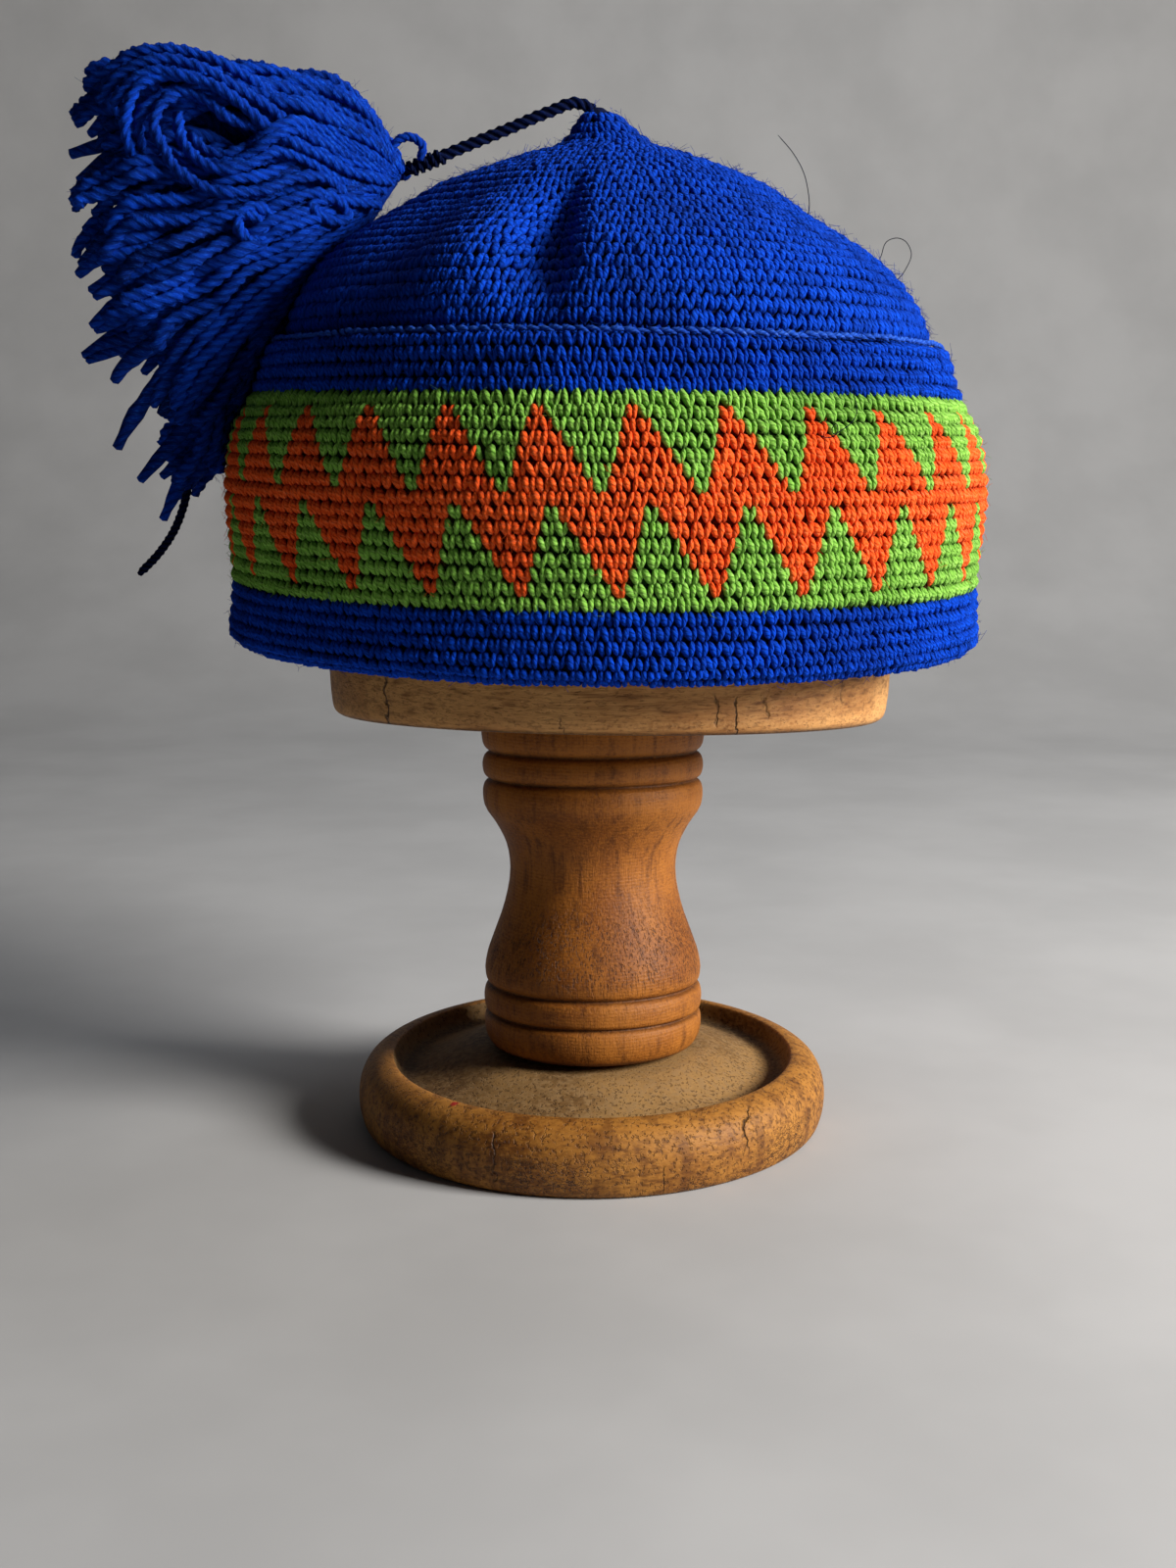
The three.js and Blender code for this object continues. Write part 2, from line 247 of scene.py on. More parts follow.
@dataclass
class Sheaf:
    """Closed tubes with equal counts of rings and sides, and a point at each end.

    Corners run round each ring so that across x over = along, which turns the faces outwards.
    """

    rings: np.ndarray
    ends: np.ndarray
    along: np.ndarray
    tone: np.ndarray
    turns: np.ndarray | None = None
    shades: np.ndarray | None = None

    def faces(self) -> tuple[list[np.ndarray], list[np.ndarray]]:
        """Works out the faces of every tube.

        Returns:
            Arrays of quads and triangles, and their corners' share round and length along. The
            share round grows with the turns, so that plies drawn at a constant share wind round.
        """
        count, rings, sides = self.rings.shape[:3]
        turns = np.zeros((count, rings)) if self.turns is None else self.turns
        block = rings * sides + 2
        ring = np.arange(rings - 1)[:, None]
        side = np.arange(sides)[None, :]
        after = (side + 1) % sides
        low, high = ring * sides, (ring + 1) * sides
        quad = np.stack([low + side, low + after, high + after, high + side], -1).reshape(-1, 4)
        s, n = side[0], after[0]
        first, last = np.full(sides, block - 2), np.full(sides, block - 1)
        top = (rings - 1) * sides
        tri = np.concatenate([np.stack([first, n, s], -1), np.stack([last, top + s, top + n], -1)])
        offset = (np.arange(count) * block)[:, None, None]
        quads = (quad[None] + offset).reshape(-1, 4)
        tris = (tri[None] + offset).reshape(-1, 3)

        share = np.stack([side, side + 1, side + 1, side], -1) / sides
        low_turn, high_turn = turns[:, :-1, None, None], turns[:, 1:, None, None]
        wind = np.concatenate([low_turn, low_turn, high_turn, high_turn], -1)
        u = np.broadcast_to(share + wind, (count, rings - 1, sides, 4))
        v_low = np.broadcast_to(self.along[:, :-1, None], (count, rings - 1, sides))
        v_high = np.broadcast_to(self.along[:, 1:, None], (count, rings - 1, sides))
        v = np.stack([v_low, v_low, v_high, v_high], -1)
        quad_uv = np.stack([u, v], -1).reshape(-1, 4, 2)
        cap_u = np.concatenate([np.stack([s + 0.5, s + 1, s], -1), np.stack([s + 0.5, s, s + 1], -1)])
        cap_turn = np.repeat(turns[:, [0, -1]], sides, axis=1)[..., None]
        cap_u = cap_u[None] / sides + np.broadcast_to(cap_turn, (count, 2 * sides, 3))
        cap_v = np.repeat(self.along[:, [0, -1]], sides, axis=1)[..., None]
        tri_uv = np.stack([cap_u, np.broadcast_to(cap_v, cap_u.shape)], -1).reshape(-1, 3, 2)
        return [quads, tris], [quad_uv, tri_uv]

    def points(self) -> np.ndarray:
        """Returns every point, tube by tube: its rings, then its two ends."""
        count = len(self.rings)
        return np.concatenate([self.rings.reshape(count, -1, 3), self.ends], axis=1).reshape(-1, 3)

    def tones(self) -> np.ndarray:
        """Works out how light each point is.

        Returns:
            For each point, its tube's tone times the point's painted shade.
        """
        block = self.rings.shape[1] * self.rings.shape[2] + 2
        shades = np.ones(block) if self.shades is None else self.shades
        return np.outer(self.tone, shades).ravel()


def place_sheaves(
    name: str, sheaves: list[Sheaf], material: bpy.types.Material
) -> bpy.types.Object:
    """Makes one piece from several sheaves of tubes.

    Args:
        name: the piece's name.
        sheaves: the tubes.
        material: the finish.

    Returns:
        The new object.
    """
    points, quads, tris, quad_uvs, tri_uvs, tones = [], [], [], [], [], []
    base = 0
    for sheaf in sheaves:
        (quad, tri), (quad_uv, tri_uv) = sheaf.faces()
        places = sheaf.points()
        points.append(places)
        quads.append(quad + base)
        tris.append(tri + base)
        quad_uvs.append(quad_uv)
        tri_uvs.append(tri_uv)
        tones.append(sheaf.tones())
        base += len(places)
    return place_piece(
        name,
        np.concatenate(points),
        [np.concatenate(quads), np.concatenate(tris)],
        material,
        [np.concatenate(quad_uvs), np.concatenate(tri_uvs)],
        {"tone": np.concatenate(tones)},
    )


@dataclass(frozen=True)
class Yarn:
    """A plied yarn: plies twisted together, each standing a little proud."""

    diameter: float
    plies: int = 3
    lead: float = 4.8
    valley: float = 0.72
    sides: int = 6
    blunt: float = 0.72
    thin_start: float = 1.0
    thick_end: float = 1.0
    slub: float = 0.0

    def wound(self, paths: np.ndarray, tone: np.ndarray, fine: bool = True) -> Sheaf:
        """Carries the plied section along each path.

        The section's radius is R * (1 - (1 - valley) * (1 - cos(plies * angle)) / 2), and the
        section turns once in each lead, so its ridges wind round the path as plies do. The yarn
        thickens and thins along its length by the slub.

        Args:
            paths: n x rings x 3 centre lines in millimetres.
            tone: n shades, from 0 to 1.
            fine: whether the plies are modelled, or only drawn on a round yarn.

        Returns:
            The tubes.
        """
        rings = paths.shape[1]
        along = unit(np.gradient(paths, axis=1))
        guess = np.where(np.abs(along[:, :1, 1:2]) < 0.9, [0.0, 1.0, 0.0], [1.0, 0.0, 0.0])
        over = np.empty_like(paths)
        over[:, 0] = unit(np.cross(along[:, 0], guess[:, 0]))
        for ring in range(1, rings):
            drift = np.sum(over[:, ring - 1] * along[:, ring], -1, keepdims=True)
            over[:, ring] = unit(over[:, ring - 1] - drift * along[:, ring])
        across = np.cross(over, along)
        walked = lengths_along(paths)
        angle = TURN * np.arange(self.sides) / self.sides
        wind = walked / self.lead
        share = np.linspace(0, 1, rings)
        taper = np.minimum(1, self.blunt + (1 - self.blunt) * np.minimum(share, 1 - share) * rings / 3)
        taper = taper * (self.thin_start + (1 - self.thin_start) * ramp(share, 0.0, 0.35))
        taper = taper * (1 + (self.thick_end - 1) * ramp(share, 0.55, 0.97))
        dip = (1 - self.valley) * (1 - np.cos(self.plies * angle)) / 2 if fine else 0 * angle
        swell = np.sin(0.9 * walked + 50 * tone[:, None]) * np.sin(0.31 * walked + 80 * tone[:, None])
        radius = self.diameter / 2 * (1 - dip) * taper[:, None] * (1 + self.slub * swell[..., None])
        turned = angle + (TURN * wind[..., None] if fine else 0 * walked[..., None])
        rings_xyz = paths[:, :, None] + across[:, :, None] * (radius * np.cos(turned))[..., None]
        rings_xyz = rings_xyz + over[:, :, None] * (radius * np.sin(turned))[..., None]
        reach = self.diameter * 0.2 * taper[[0, -1]]
        start = paths[:, 0] - along[:, 0] * reach[0]
        end = paths[:, -1] + along[:, -1] * reach[1]
        turns = None if fine else -wind
        return Sheaf(rings_xyz, np.stack([start, end], 1), walked, tone, turns)


# Finishes


def add_node(
    tree: bpy.types.NodeTree,
    kind: str,
    settings: dict[str, object] | None = None,
    inputs: dict[object, object] | None = None,
    output: object = 0,
) -> bpy.types.NodeSocket | None:
    """Adds one shader node with its settings and links.

    Args:
        tree: the material's node tree.
        kind: the node's type, without its ShaderNode.
        settings: the node's own properties.
        inputs: for each input's name or number, a value, a hex colour or the socket that feeds it.
        output: the name or number of the output that is wanted.

    Returns:
        That output, or None from a node that has none.
    """
    node = tree.nodes.new("ShaderNode" + kind)
    for key, value in (settings or {}).items():
        setattr(node, key, value)
    for key, value in (inputs or {}).items():
        socket = node.inputs[key]
        if isinstance(value, bpy.types.NodeSocket):
            tree.links.new(value, socket)
        else:
            socket.default_value = linear(value) if isinstance(value, str) else value
    return node.outputs[output] if len(node.outputs) else None


def fresh_tree(name: str) -> tuple[bpy.types.Material, bpy.types.NodeTree]:
    """Starts a material.

    Args:
        name: its name.

    Returns:
        The material and its node tree, which is empty.
    """
    material = bpy.data.materials.new(name)
    material.use_nodes = True
    material.node_tree.nodes.clear()
    return material, material.node_tree


def share_where(
    tree: bpy.types.NodeTree, limits: tuple[tuple[object, float, float], ...], strength: object = 1.0
) -> bpy.types.NodeSocket:
    """Works out where a coat of colour lies.

    The share is the strength times, for each value, a smooth rise from 0 at its first level to 1
    at its second.

    Args:
        tree: the material's node tree.
        limits: for each value, the value and its two levels.
        strength: the share where every value has passed its second level.

    Returns:
        The share.
    """
    share = strength
    for value, none, full in limits:
        levels = {"Value": value, "From Min": none, "From Max": full}
        rise = add_node(tree, "MapRange", {"interpolation_type": "SMOOTHSTEP"}, levels)
        share = add_node(tree, "Math", {"operation": "MULTIPLY"}, {0: share, 1: rise})
    return share


def weighted_sum(
    tree: bpy.types.NodeTree, terms: tuple[tuple[object, float], ...], start: object = 0.0
) -> bpy.types.NodeSocket:
    """Adds up values, each times its weight.

    Args:
        tree: the material's node tree.
        terms: for each value, the value and its weight.
        start: what the sum starts from.

    Returns:
        The sum.
    """
    total = start
    for value, weight in terms:
        total = add_node(tree, "Math", {"operation": "MULTIPLY_ADD"}, {0: value, 1: weight, 2: total})
    return total


def painted(tree: bpy.types.NodeTree, colour: object, coats: tuple[tuple, ...]) -> bpy.types.NodeSocket:
    """Lays coats of colour over each other.

    Args:
        tree: the material's node tree.
        colour: the colour below them all.
        coats: for each coat its limits and strength, as share_where takes them, and its colour.

    Returns:
        The colour on top.
    """
    for limits, strength, coat in coats:
        share = share_where(tree, limits, strength) if limits else strength
        colour = add_node(tree, "Mix", {"data_type": "RGBA"}, {0: share, 6: colour, 7: coat}, 2)
    return colour


def surfaced(
    tree: bpy.types.NodeTree, colour: object, height: object, relief: float, gloss: dict[str, object]
) -> None:
    """Ends a material with its relief and its shader.

    Args:
        tree: the material's node tree.
        colour: its colour.
        height: its relief, about 0 to 1.
        relief: how deep that relief is, in millimetres.
        gloss: the shader's roughness, specular level and sheen.
    """
    raised = {"Strength": 1.0, "Distance": relief * MM, "Height": height}
    normal = add_node(tree, "Bump", None, raised)
    shader = add_node(tree, "BsdfPrincipled", None, {"Base Color": colour, "Normal": normal, **gloss})
    add_node(tree, "OutputMaterial", None, {0: shader})


@dataclass(frozen=True)
class Grain:
    """Noise whose marks have a stated size in millimetres along X, Y and Z."""

    size: tuple[float, float, float]
    detail: float = 3
    shift: tuple[float, float, float] = (0, 0, 0)

    def drawn(self, tree: bpy.types.NodeTree, place: object) -> bpy.types.NodeSocket:
        """Draws the noise.

        Args:
            tree: the material's node tree.
            place: the coordinates that it is drawn on, in metres.

        Returns:
            Its value, which lies round 0.5.
        """
        scale = tuple(1 / (size * MM) for size in self.size)
        moved = add_node(tree, "Mapping", None, {"Vector": place, "Scale": scale, "Location": self.shift})
        noise = {"Vector": moved, "Scale": 1.0, "Detail": self.detail, "Roughness": 0.55}
        return add_node(tree, "TexNoise", None, noise)


@dataclass(frozen=True)
class Wool:
    """Dyed worsted wool, plied and worked by hand.

    Its fine hairs scatter light widely, so it has a soft sheen at grazing angles and almost no gloss.
    Its hairs carry painted highlights and painted shade, and painted shade lines lie where its plies
    meet.
    """

    name: str
    shade: str
    body: str
    light: str
    plies: int = 3
    hairs_round: float = 13
    hair: float = 0.5
    valley: float = 0.4
    sheen: float = 0.07
    relief: float = 0.12

    @cache
    def made(self) -> bpy.types.Material:
        """Builds the material.

        The ply lines follow cos(2 pi * plies * share round) on the yarn's own coordinates, which wind
        with its twist, and the hairs are noise drawn out along the plies.

        Returns:
            The finished material, made once for each finish.
        """
        material, tree = fresh_tree(self.name)
        place = add_node(tree, "TexCoord", output="Object")
        yarn = add_node(tree, "UVMap", {"uv_map": "yarn"})
        tone = add_node(tree, "Attribute", {"attribute_name": "tone"}, output="Fac")
        share = add_node(tree, "SeparateXYZ", None, {0: yarn})
        turn = add_node(tree, "Math", {"operation": "MULTIPLY"}, {0: share, 1: self.plies * TURN})
        ply = add_node(tree, "Math", {"operation": "COSINE"}, {0: turn})
        drawn_out = add_node(tree, "Mapping", None, {"Vector": yarn, "Scale": (self.hairs_round, 0.9, 1)})
        noise = {"Vector": drawn_out, "Scale": 1.0, "Detail": 4, "Roughness": 0.65}
        hairs = add_node(tree, "TexNoise", None, noise)
        fuzz = Grain((0.385, 0.385, 0.385), 4).drawn(tree, place)
        patches = Grain((28.6, 28.6, 28.6)).drawn(tree, place)

        coats = (
            # The tone lifts the shaded colour to the body's: each tube's own tone, times the painted
            # shade that stitches carry at their sides and ends
            ((), tone, self.body),
            # Painted highlights and painted shade along the hairs
            (((hairs, 0.48, 0.72),), self.hair, self.light),
            (((hairs, 0.46, 0.3),), self.hair, self.shade),
            # Long wear has dulled it in patches
            (((patches, 0.42, 0.68),), 0.3, self.shade),
            # Painted shade in the valleys where the plies meet
            (((ply, 0.1, -1.0),), self.valley, self.shade),
        )
        line = share_where(tree, ((ply, -1.0, 0.1),))
        height = weighted_sum(tree, ((line, 0.9), (hairs, 0.9), (fuzz, 0.5)))
        gloss = {
            "Roughness": 0.92,
            "Specular IOR Level": 0.08,
            "Sheen Weight": self.sheen,
            "Sheen Roughness": 0.4,
            "Sheen Tint": self.light,
        }
        surfaced(tree, painted(tree, self.shade, coats), height, self.relief, gloss)
        return material


@dataclass(frozen=True)
class ClothBehind:
    """Worked wool behind the stitches, seen only in the gaps between them, in painted shade: dark copies
    of the yarns' colours.
    """

    name: str
    uses_colour: bool
    # The painted shade where no colour is given for each point
    plain_shade: str = "#061a52"

    def made(self) -> bpy.types.Material:
        """Builds the material, with fibres of about 0.4 mm in its relief.

        Returns:
            The finished material.
        """
        material, tree = fresh_tree(self.name)
        place = add_node(tree, "TexCoord", output="Object")
        fuzz = Grain((0.417, 0.417, 0.417), 4).drawn(tree, place)
        base = self.plain_shade
        if self.uses_colour:
            base = add_node(tree, "Attribute", {"attribute_name": "behind"}, output="Color")
        # Painted shade, with near-black patches in the fuzz
        colour = painted(tree, base, ((((fuzz, 0.3, 0.7),), 1.0, "#070710"),))
        surfaced(tree, colour, fuzz, 0.24, {"Roughness": 0.95, "Specular IOR Level": 0.1})
        return material


@dataclass(frozen=True)
class Crack:
    """A dark split in the front or side of a wooden piece, along a wavering line."""

    x: float
    low: float
    high: float
    width: float
    depth: float = 0.8


@dataclass(frozen=True)
class TurnedWood:
    """Waxed turned hardwood, worn by long use.

    The grain gives fine streaks, the lathe gives faint rings, the wax gives a soft uneven shine,
    and painted shade darkens the grooves and hollows. Streaks, flecks and pits have sizes in
    millimetres along X, Y and Z.
    """

    name: str
    pale: str
    body: str
    deep: str
    # The colour of the painted shade in grooves and hollows
    hollow_shade_colour: str
    streaks: tuple[float, float, float]
    flecks: tuple[float, float, float]
    fleck_share: float
    pits: tuple[float, float, float]
    pit_share: float
    pit_zone: tuple[float, float]
    bands: float = 0.0
    worm: float = 0.0
    lathe: float = 0.0
    cracks: tuple[Crack, ...] = ()
    specks: tuple[tuple[float, float, float, float], ...] = ()
    lathe_pitch: float = 0.9
    relief: float = 0.24
    band_colour: str = "#4a2109"
    hole_colour: str = "#2c1407"
    crack_colour: str = "#160a04"
    speck_colour: str = "#9c241c"
    dust_colours: tuple[str, str, str] = ("#5f4a2c", "#97794c", "#8a7350")

    def splits(self, tree: bpy.types.NodeTree, place: object, axes: list, floor: object) -> object:
        """Draws the cracks, each a wavering upright line on the front.

        Args:
            tree: the material's node tree.
            place: the object's coordinates.
            axes: their X, Y and Z.
            floor: 1 on a dish floor, where no crack shows.

        Returns:
            1 in a crack and 0 away from it.
        """
        x, y, z = axes
        waver = Grain((5, 5, 5)).drawn(tree, place)
        sideways = weighted_sum(tree, ((waver, 6 * MM), (x, 1.0)), -3 * MM)
        total = 0.0
        for crack in self.cracks:
            limits = (
                (sideways, (crack.x - crack.width) * MM, crack.x * MM),
                (sideways, (crack.x + crack.width) * MM, crack.x * MM),
                (z, (crack.low - 1) * MM, (crack.low + 1) * MM),
                (z, (crack.high + 1) * MM, (crack.high - 1) * MM),
                (y, 0.0, -4 * MM),
                (floor, 1.0, 0.0),
            )
            here = share_where(tree, limits, crack.depth)
            total = add_node(tree, "Math", {"operation": "MAXIMUM"}, {0: total, 1: here})
        return total

    def holes(self, tree: bpy.types.NodeTree, place: object, z: object) -> object:
        """Draws open pores, thickest in one zone of heights, and worm tracks near the foot.

        Args:
            tree: the material's node tree.
            place: the object's coordinates.
            z: the height.

        Returns:
            1 in a hole and 0 away from it.
        """
        low, high = self.pit_zone
        pores = Grain(self.pits, 2, (5, 5, 5)).drawn(tree, place)
        limits = (
            (z, (low - 4) * MM, (low + 5) * MM),
            (z, (high + 6) * MM, (high - 6) * MM),
        )
        zone = share_where(tree, limits, 0.85 * self.pit_share)
        often = add_node(tree, "Math", {"operation": "ADD"}, {0: zone, 1: 0.15 * self.pit_share})
        hole = share_where(tree, ((pores, 0.56, 0.64),), often)
        if self.worm:
            tracks = Grain((1.333, 1.333, 0.769), 1, (4, 4, 1)).drawn(tree, place)
            patch = Grain((20, 20, 20), 2, (7, 1, 1)).drawn(tree, place)
            limits = (
                (tracks, 0.465, 0.488),
                (tracks, 0.535, 0.512),
                (patch, 0.46, 0.56),
                (z, 12 * MM, 8 * MM),
            )
            track = share_where(tree, limits, self.worm)
            hole = add_node(tree, "Math", {"operation": "MAXIMUM"}, {0: hole, 1: track})
        return hole

    def made(self) -> bpy.types.Material:
        """Builds the material.

        Streaks are noise drawn out along the grain, flecks are fine mottling, and the point values
        hollow_shade, wear and floor say where the painted shade of grooves and the dish's moat, the
        worn edges and the dish floor lie.

        Returns:
            The finished material.
        """
        material, tree = fresh_tree(self.name)
        place = add_node(tree, "TexCoord", output="Object")
        axes = list(add_node(tree, "SeparateXYZ", None, {0: place}).node.outputs)
        sx, sy, sz = self.streaks
        blotch = Grain((28.6, 28.6, 33.3), 4).drawn(tree, place)
        streak = Grain((sx, sy, sz), 4, (3, 1, 7)).drawn(tree, place)
        fibre = Grain((sx / 5, sy / 5, sz / 4), 3, (9, 2, 4)).drawn(tree, place)
        fleck = Grain(self.flecks, 4, (2, 8, 5)).drawn(tree, place)
        band = Grain((7.143, 7.143, 125), 3, (1, 3, 2)).drawn(tree, place)
        speckle = Grain((0.909, 0.909, 0.909), 2).drawn(tree, place)
        hollow_shade, wear, floor = (
            add_node(tree, "Attribute", {"attribute_name": name}, output="Fac")
            for name in ("hollow_shade", "wear", "floor")
        )

        dusty, dust_pale, dust_brown = self.dust_colours
        dust = (
            (((blotch, 0.35, 0.65),), 1.0, dust_pale),
            (((fleck, 0.42, 0.62),), 1.0, dust_brown),
        )
        hole = self.holes(tree, place, axes[2])
        split = self.splits(tree, place, axes, floor)
        # Painted shade, made patchy by the speckle
        patchy = share_where(tree, ((speckle, 0.2, 0.6),), 0.5)
        patchy = add_node(tree, "Math", {"operation": "ADD"}, {0: patchy, 1: 0.4})
        patchy_shade = add_node(tree, "Math", {"operation": "MULTIPLY"}, {0: hollow_shade, 1: patchy})
        coats = [
            (((blotch, 0.36, 0.64),), 1.0, self.pale),
            (((streak, 0.48, 0.72),), 0.7, self.deep),
            (((fibre, 0.5, 0.75),), 0.4, self.deep),
            (((fleck, 0.5, 0.62),), self.fleck_share, self.pale),
            (((fleck, 0.48, 0.36),), self.fleck_share, self.deep),
            (((speckle, 0.3, 0.6),), wear, self.pale),
            (((band, 0.52, 0.62), (floor, 1.0, 0.0)), self.bands, self.band_colour),
            (((floor, 0.0, 1.0),), 0.75, painted(tree, dusty, dust)),
            ((), hole, self.hole_colour),
            # Painted shade in the grooves and the dish's moat
            ((), patchy_shade, self.hollow_shade_colour),
            ((), split, self.crack_colour),
        ]
        for x, y, z, radius in self.specks:
            spot = {0: place, 1: (x * MM, y * MM, z * MM)}
            gap = add_node(tree, "VectorMath", {"operation": "DISTANCE"}, spot, "Value")
            uneven = {0: speckle, 1: 1.2 * MM, 2: gap}
            ragged = add_node(tree, "Math", {"operation": "MULTIPLY_ADD"}, uneven)
            limits = ((ragged, (radius + 0.8) * MM, (radius + 0.2) * MM),)
            coats.append((limits, 1.0, self.speck_colour))

        turns = {0: axes[2], 1: TURN / (self.lathe_pitch * MM)}
        turn = add_node(tree, "Math", {"operation": "MULTIPLY"}, turns)
        ring = add_node(tree, "Math", {"operation": "SINE"}, {0: turn})
        relief = ((fibre, 0.5), (hole, -1.4), (split, -3.0), (fleck, 0.5), (ring, self.lathe))
        height = weighted_sum(tree, relief)
        rough = weighted_sum(tree, ((blotch, 0.25), (floor, 0.2)), 0.46)
        colour = painted(tree, self.body, tuple(coats))
        gloss = {"Roughness": rough, "Specular IOR Level": 0.3}
        surfaced(tree, colour, height, self.relief, gloss)
        return material


@dataclass(frozen=True)
class Backdrop:
    """Pale painted board for the floor, quite matt."""

    name: str = "pale_floor"
    colour: str = "#b2b3b4"

    def made(self) -> bpy.types.Material:
        """Builds the material, with a faint mottling.

        Returns:
            The finished material.
        """
        material, tree = fresh_tree(self.name)
        place = add_node(tree, "TexCoord", output="Object")
        mottle = Grain((100, 100, 100), 4).drawn(tree, place)
        colour = painted(tree, self.colour, ((((mottle, 0.3, 0.7),), 1.0, "#bcbdbe"),))
        surfaced(tree, colour, mottle, 0.0, {"Roughness": 0.85})
        return material


class YarnColour(Enum):
    """The three yarns of the hat, in the order that the chart counts them."""

    BLUE = 0
    GREEN = 1
    ORANGE = 2


WOOLS = {
    YarnColour.BLUE: Wool("royal_blue_wool", "#010d40", "#0345cf", "#1264ea"),
    YarnColour.GREEN: Wool("leaf_green_wool", "#3a6e1c", "#8ecb52", "#d4f09c"),
    YarnColour.ORANGE: Wool("bright_orange_wool", "#c23208", "#ff6826", "#ffa878"),
}
POMPOM_WOOL = Wool(
    "pompom_wool", "#010b38", "#033cba", "#1c60da", hairs_round=22, hair=0.7, valley=0.5, relief=0.2
)
CORD_WOOL = Wool(
    "navy_cord_wool", "#01030c", "#071645", "#1c3c90", hairs_round=20, hair=0.35, valley=0.7, relief=0.25
)


# Wooden stand


@dataclass
class TurnedPart:
    """One turned piece: rows of radius and height, and which rows are corners."""

    name: str
    node: str
    rows: tuple[tuple[float, float], ...]
    sharp: tuple[int, ...]
    finish: TurnedWood
    grooves: tuple[float, ...] = ()
    edges: tuple[float, ...] = ()
    dish: float = 0.0
    steps: int = 5
    segments: int = 144

    def surface(self) -> tuple[np.ndarray, np.ndarray]:
        """Turns the profile about Z.

        Each point is (r cos a, r sin a, h) for a row (r, h) of the smooth profile and an angle a.

        Returns:
            rows x segments x 3 places, and the smooth profile.
        """
        profile = smooth_line(np.array(self.rows), self.steps, self.sharp)
        profile = profile[profile[:, 0] > 0.05]
        angle = TURN * np.arange(self.segments) / self.segments
        radius, height = profile[:, 0][:, None], profile[:, 1][:, None]
        # The lathe and the years leave it very slightly out of round
        uneven = 1 + 0.0012 * np.sin(2 * angle + 0.7) + 0.0007 * np.sin(5 * angle + height * 0.05)
        grid = np.stack(
            [
                radius * uneven * np.cos(angle),
                radius * uneven * np.sin(angle),
                np.broadcast_to(height, (len(profile), self.segments)),
            ],
            -1,
        )
        return grid, profile

    def made(self, place: Callable[[np.ndarray], np.ndarray]) -> bpy.types.Object:
        """Makes the piece.

        Args:
            place: a function that puts points where the piece stands.

        Returns:
            The new object, which stands for its node.
        """
        grid, profile = self.surface()
        low = np.array([0, 0, profile[0, 1]])
        high = np.array([0, 0, profile[-1, 1]])
        sheaf = Sheaf(
            place(grid)[None],
            place(np.stack([low, high]))[None],
            lengths_along(profile)[None],
            np.zeros(1),
        )
        faces, uvs = sheaf.faces()
        height = np.append(np.repeat(profile[:, 1], self.segments), [low[2], high[2]])
        radius = np.append(np.repeat(profile[:, 0], self.segments), [0, 0])
        hollow_shade = np.zeros_like(height)
        # Painted shade in the grooves and along the lines where one part sits on another
        for groove in self.grooves:
            hollow_shade = np.maximum(hollow_shade, 0.85 * np.exp(-(((height - groove) / 0.6) ** 2)))
        wear = np.zeros_like(height)
        for edge in self.edges:
            wear = np.maximum(wear, 0.6 * np.exp(-(((height - edge) / 1.2) ** 2)))
        floor = np.zeros_like(height)
        if self.dish:
            inside = (radius < self.dish) & (height > 5)
            floor = np.where(inside, 1.0, 0.0)
            # Painted shade in the moat at the foot of the dish's wall
            hollow_shade = np.maximum(hollow_shade, np.where(inside, 0.8 * np.exp(-(((radius - 50.5) / 2.6) ** 2)), 0))
        values = {"hollow_shade": hollow_shade, "wear": wear, "floor": floor}
        piece = place_piece(self.name, sheaf.points(), faces, self.finish.made(), uvs, values)
        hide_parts(self.node)
        return piece


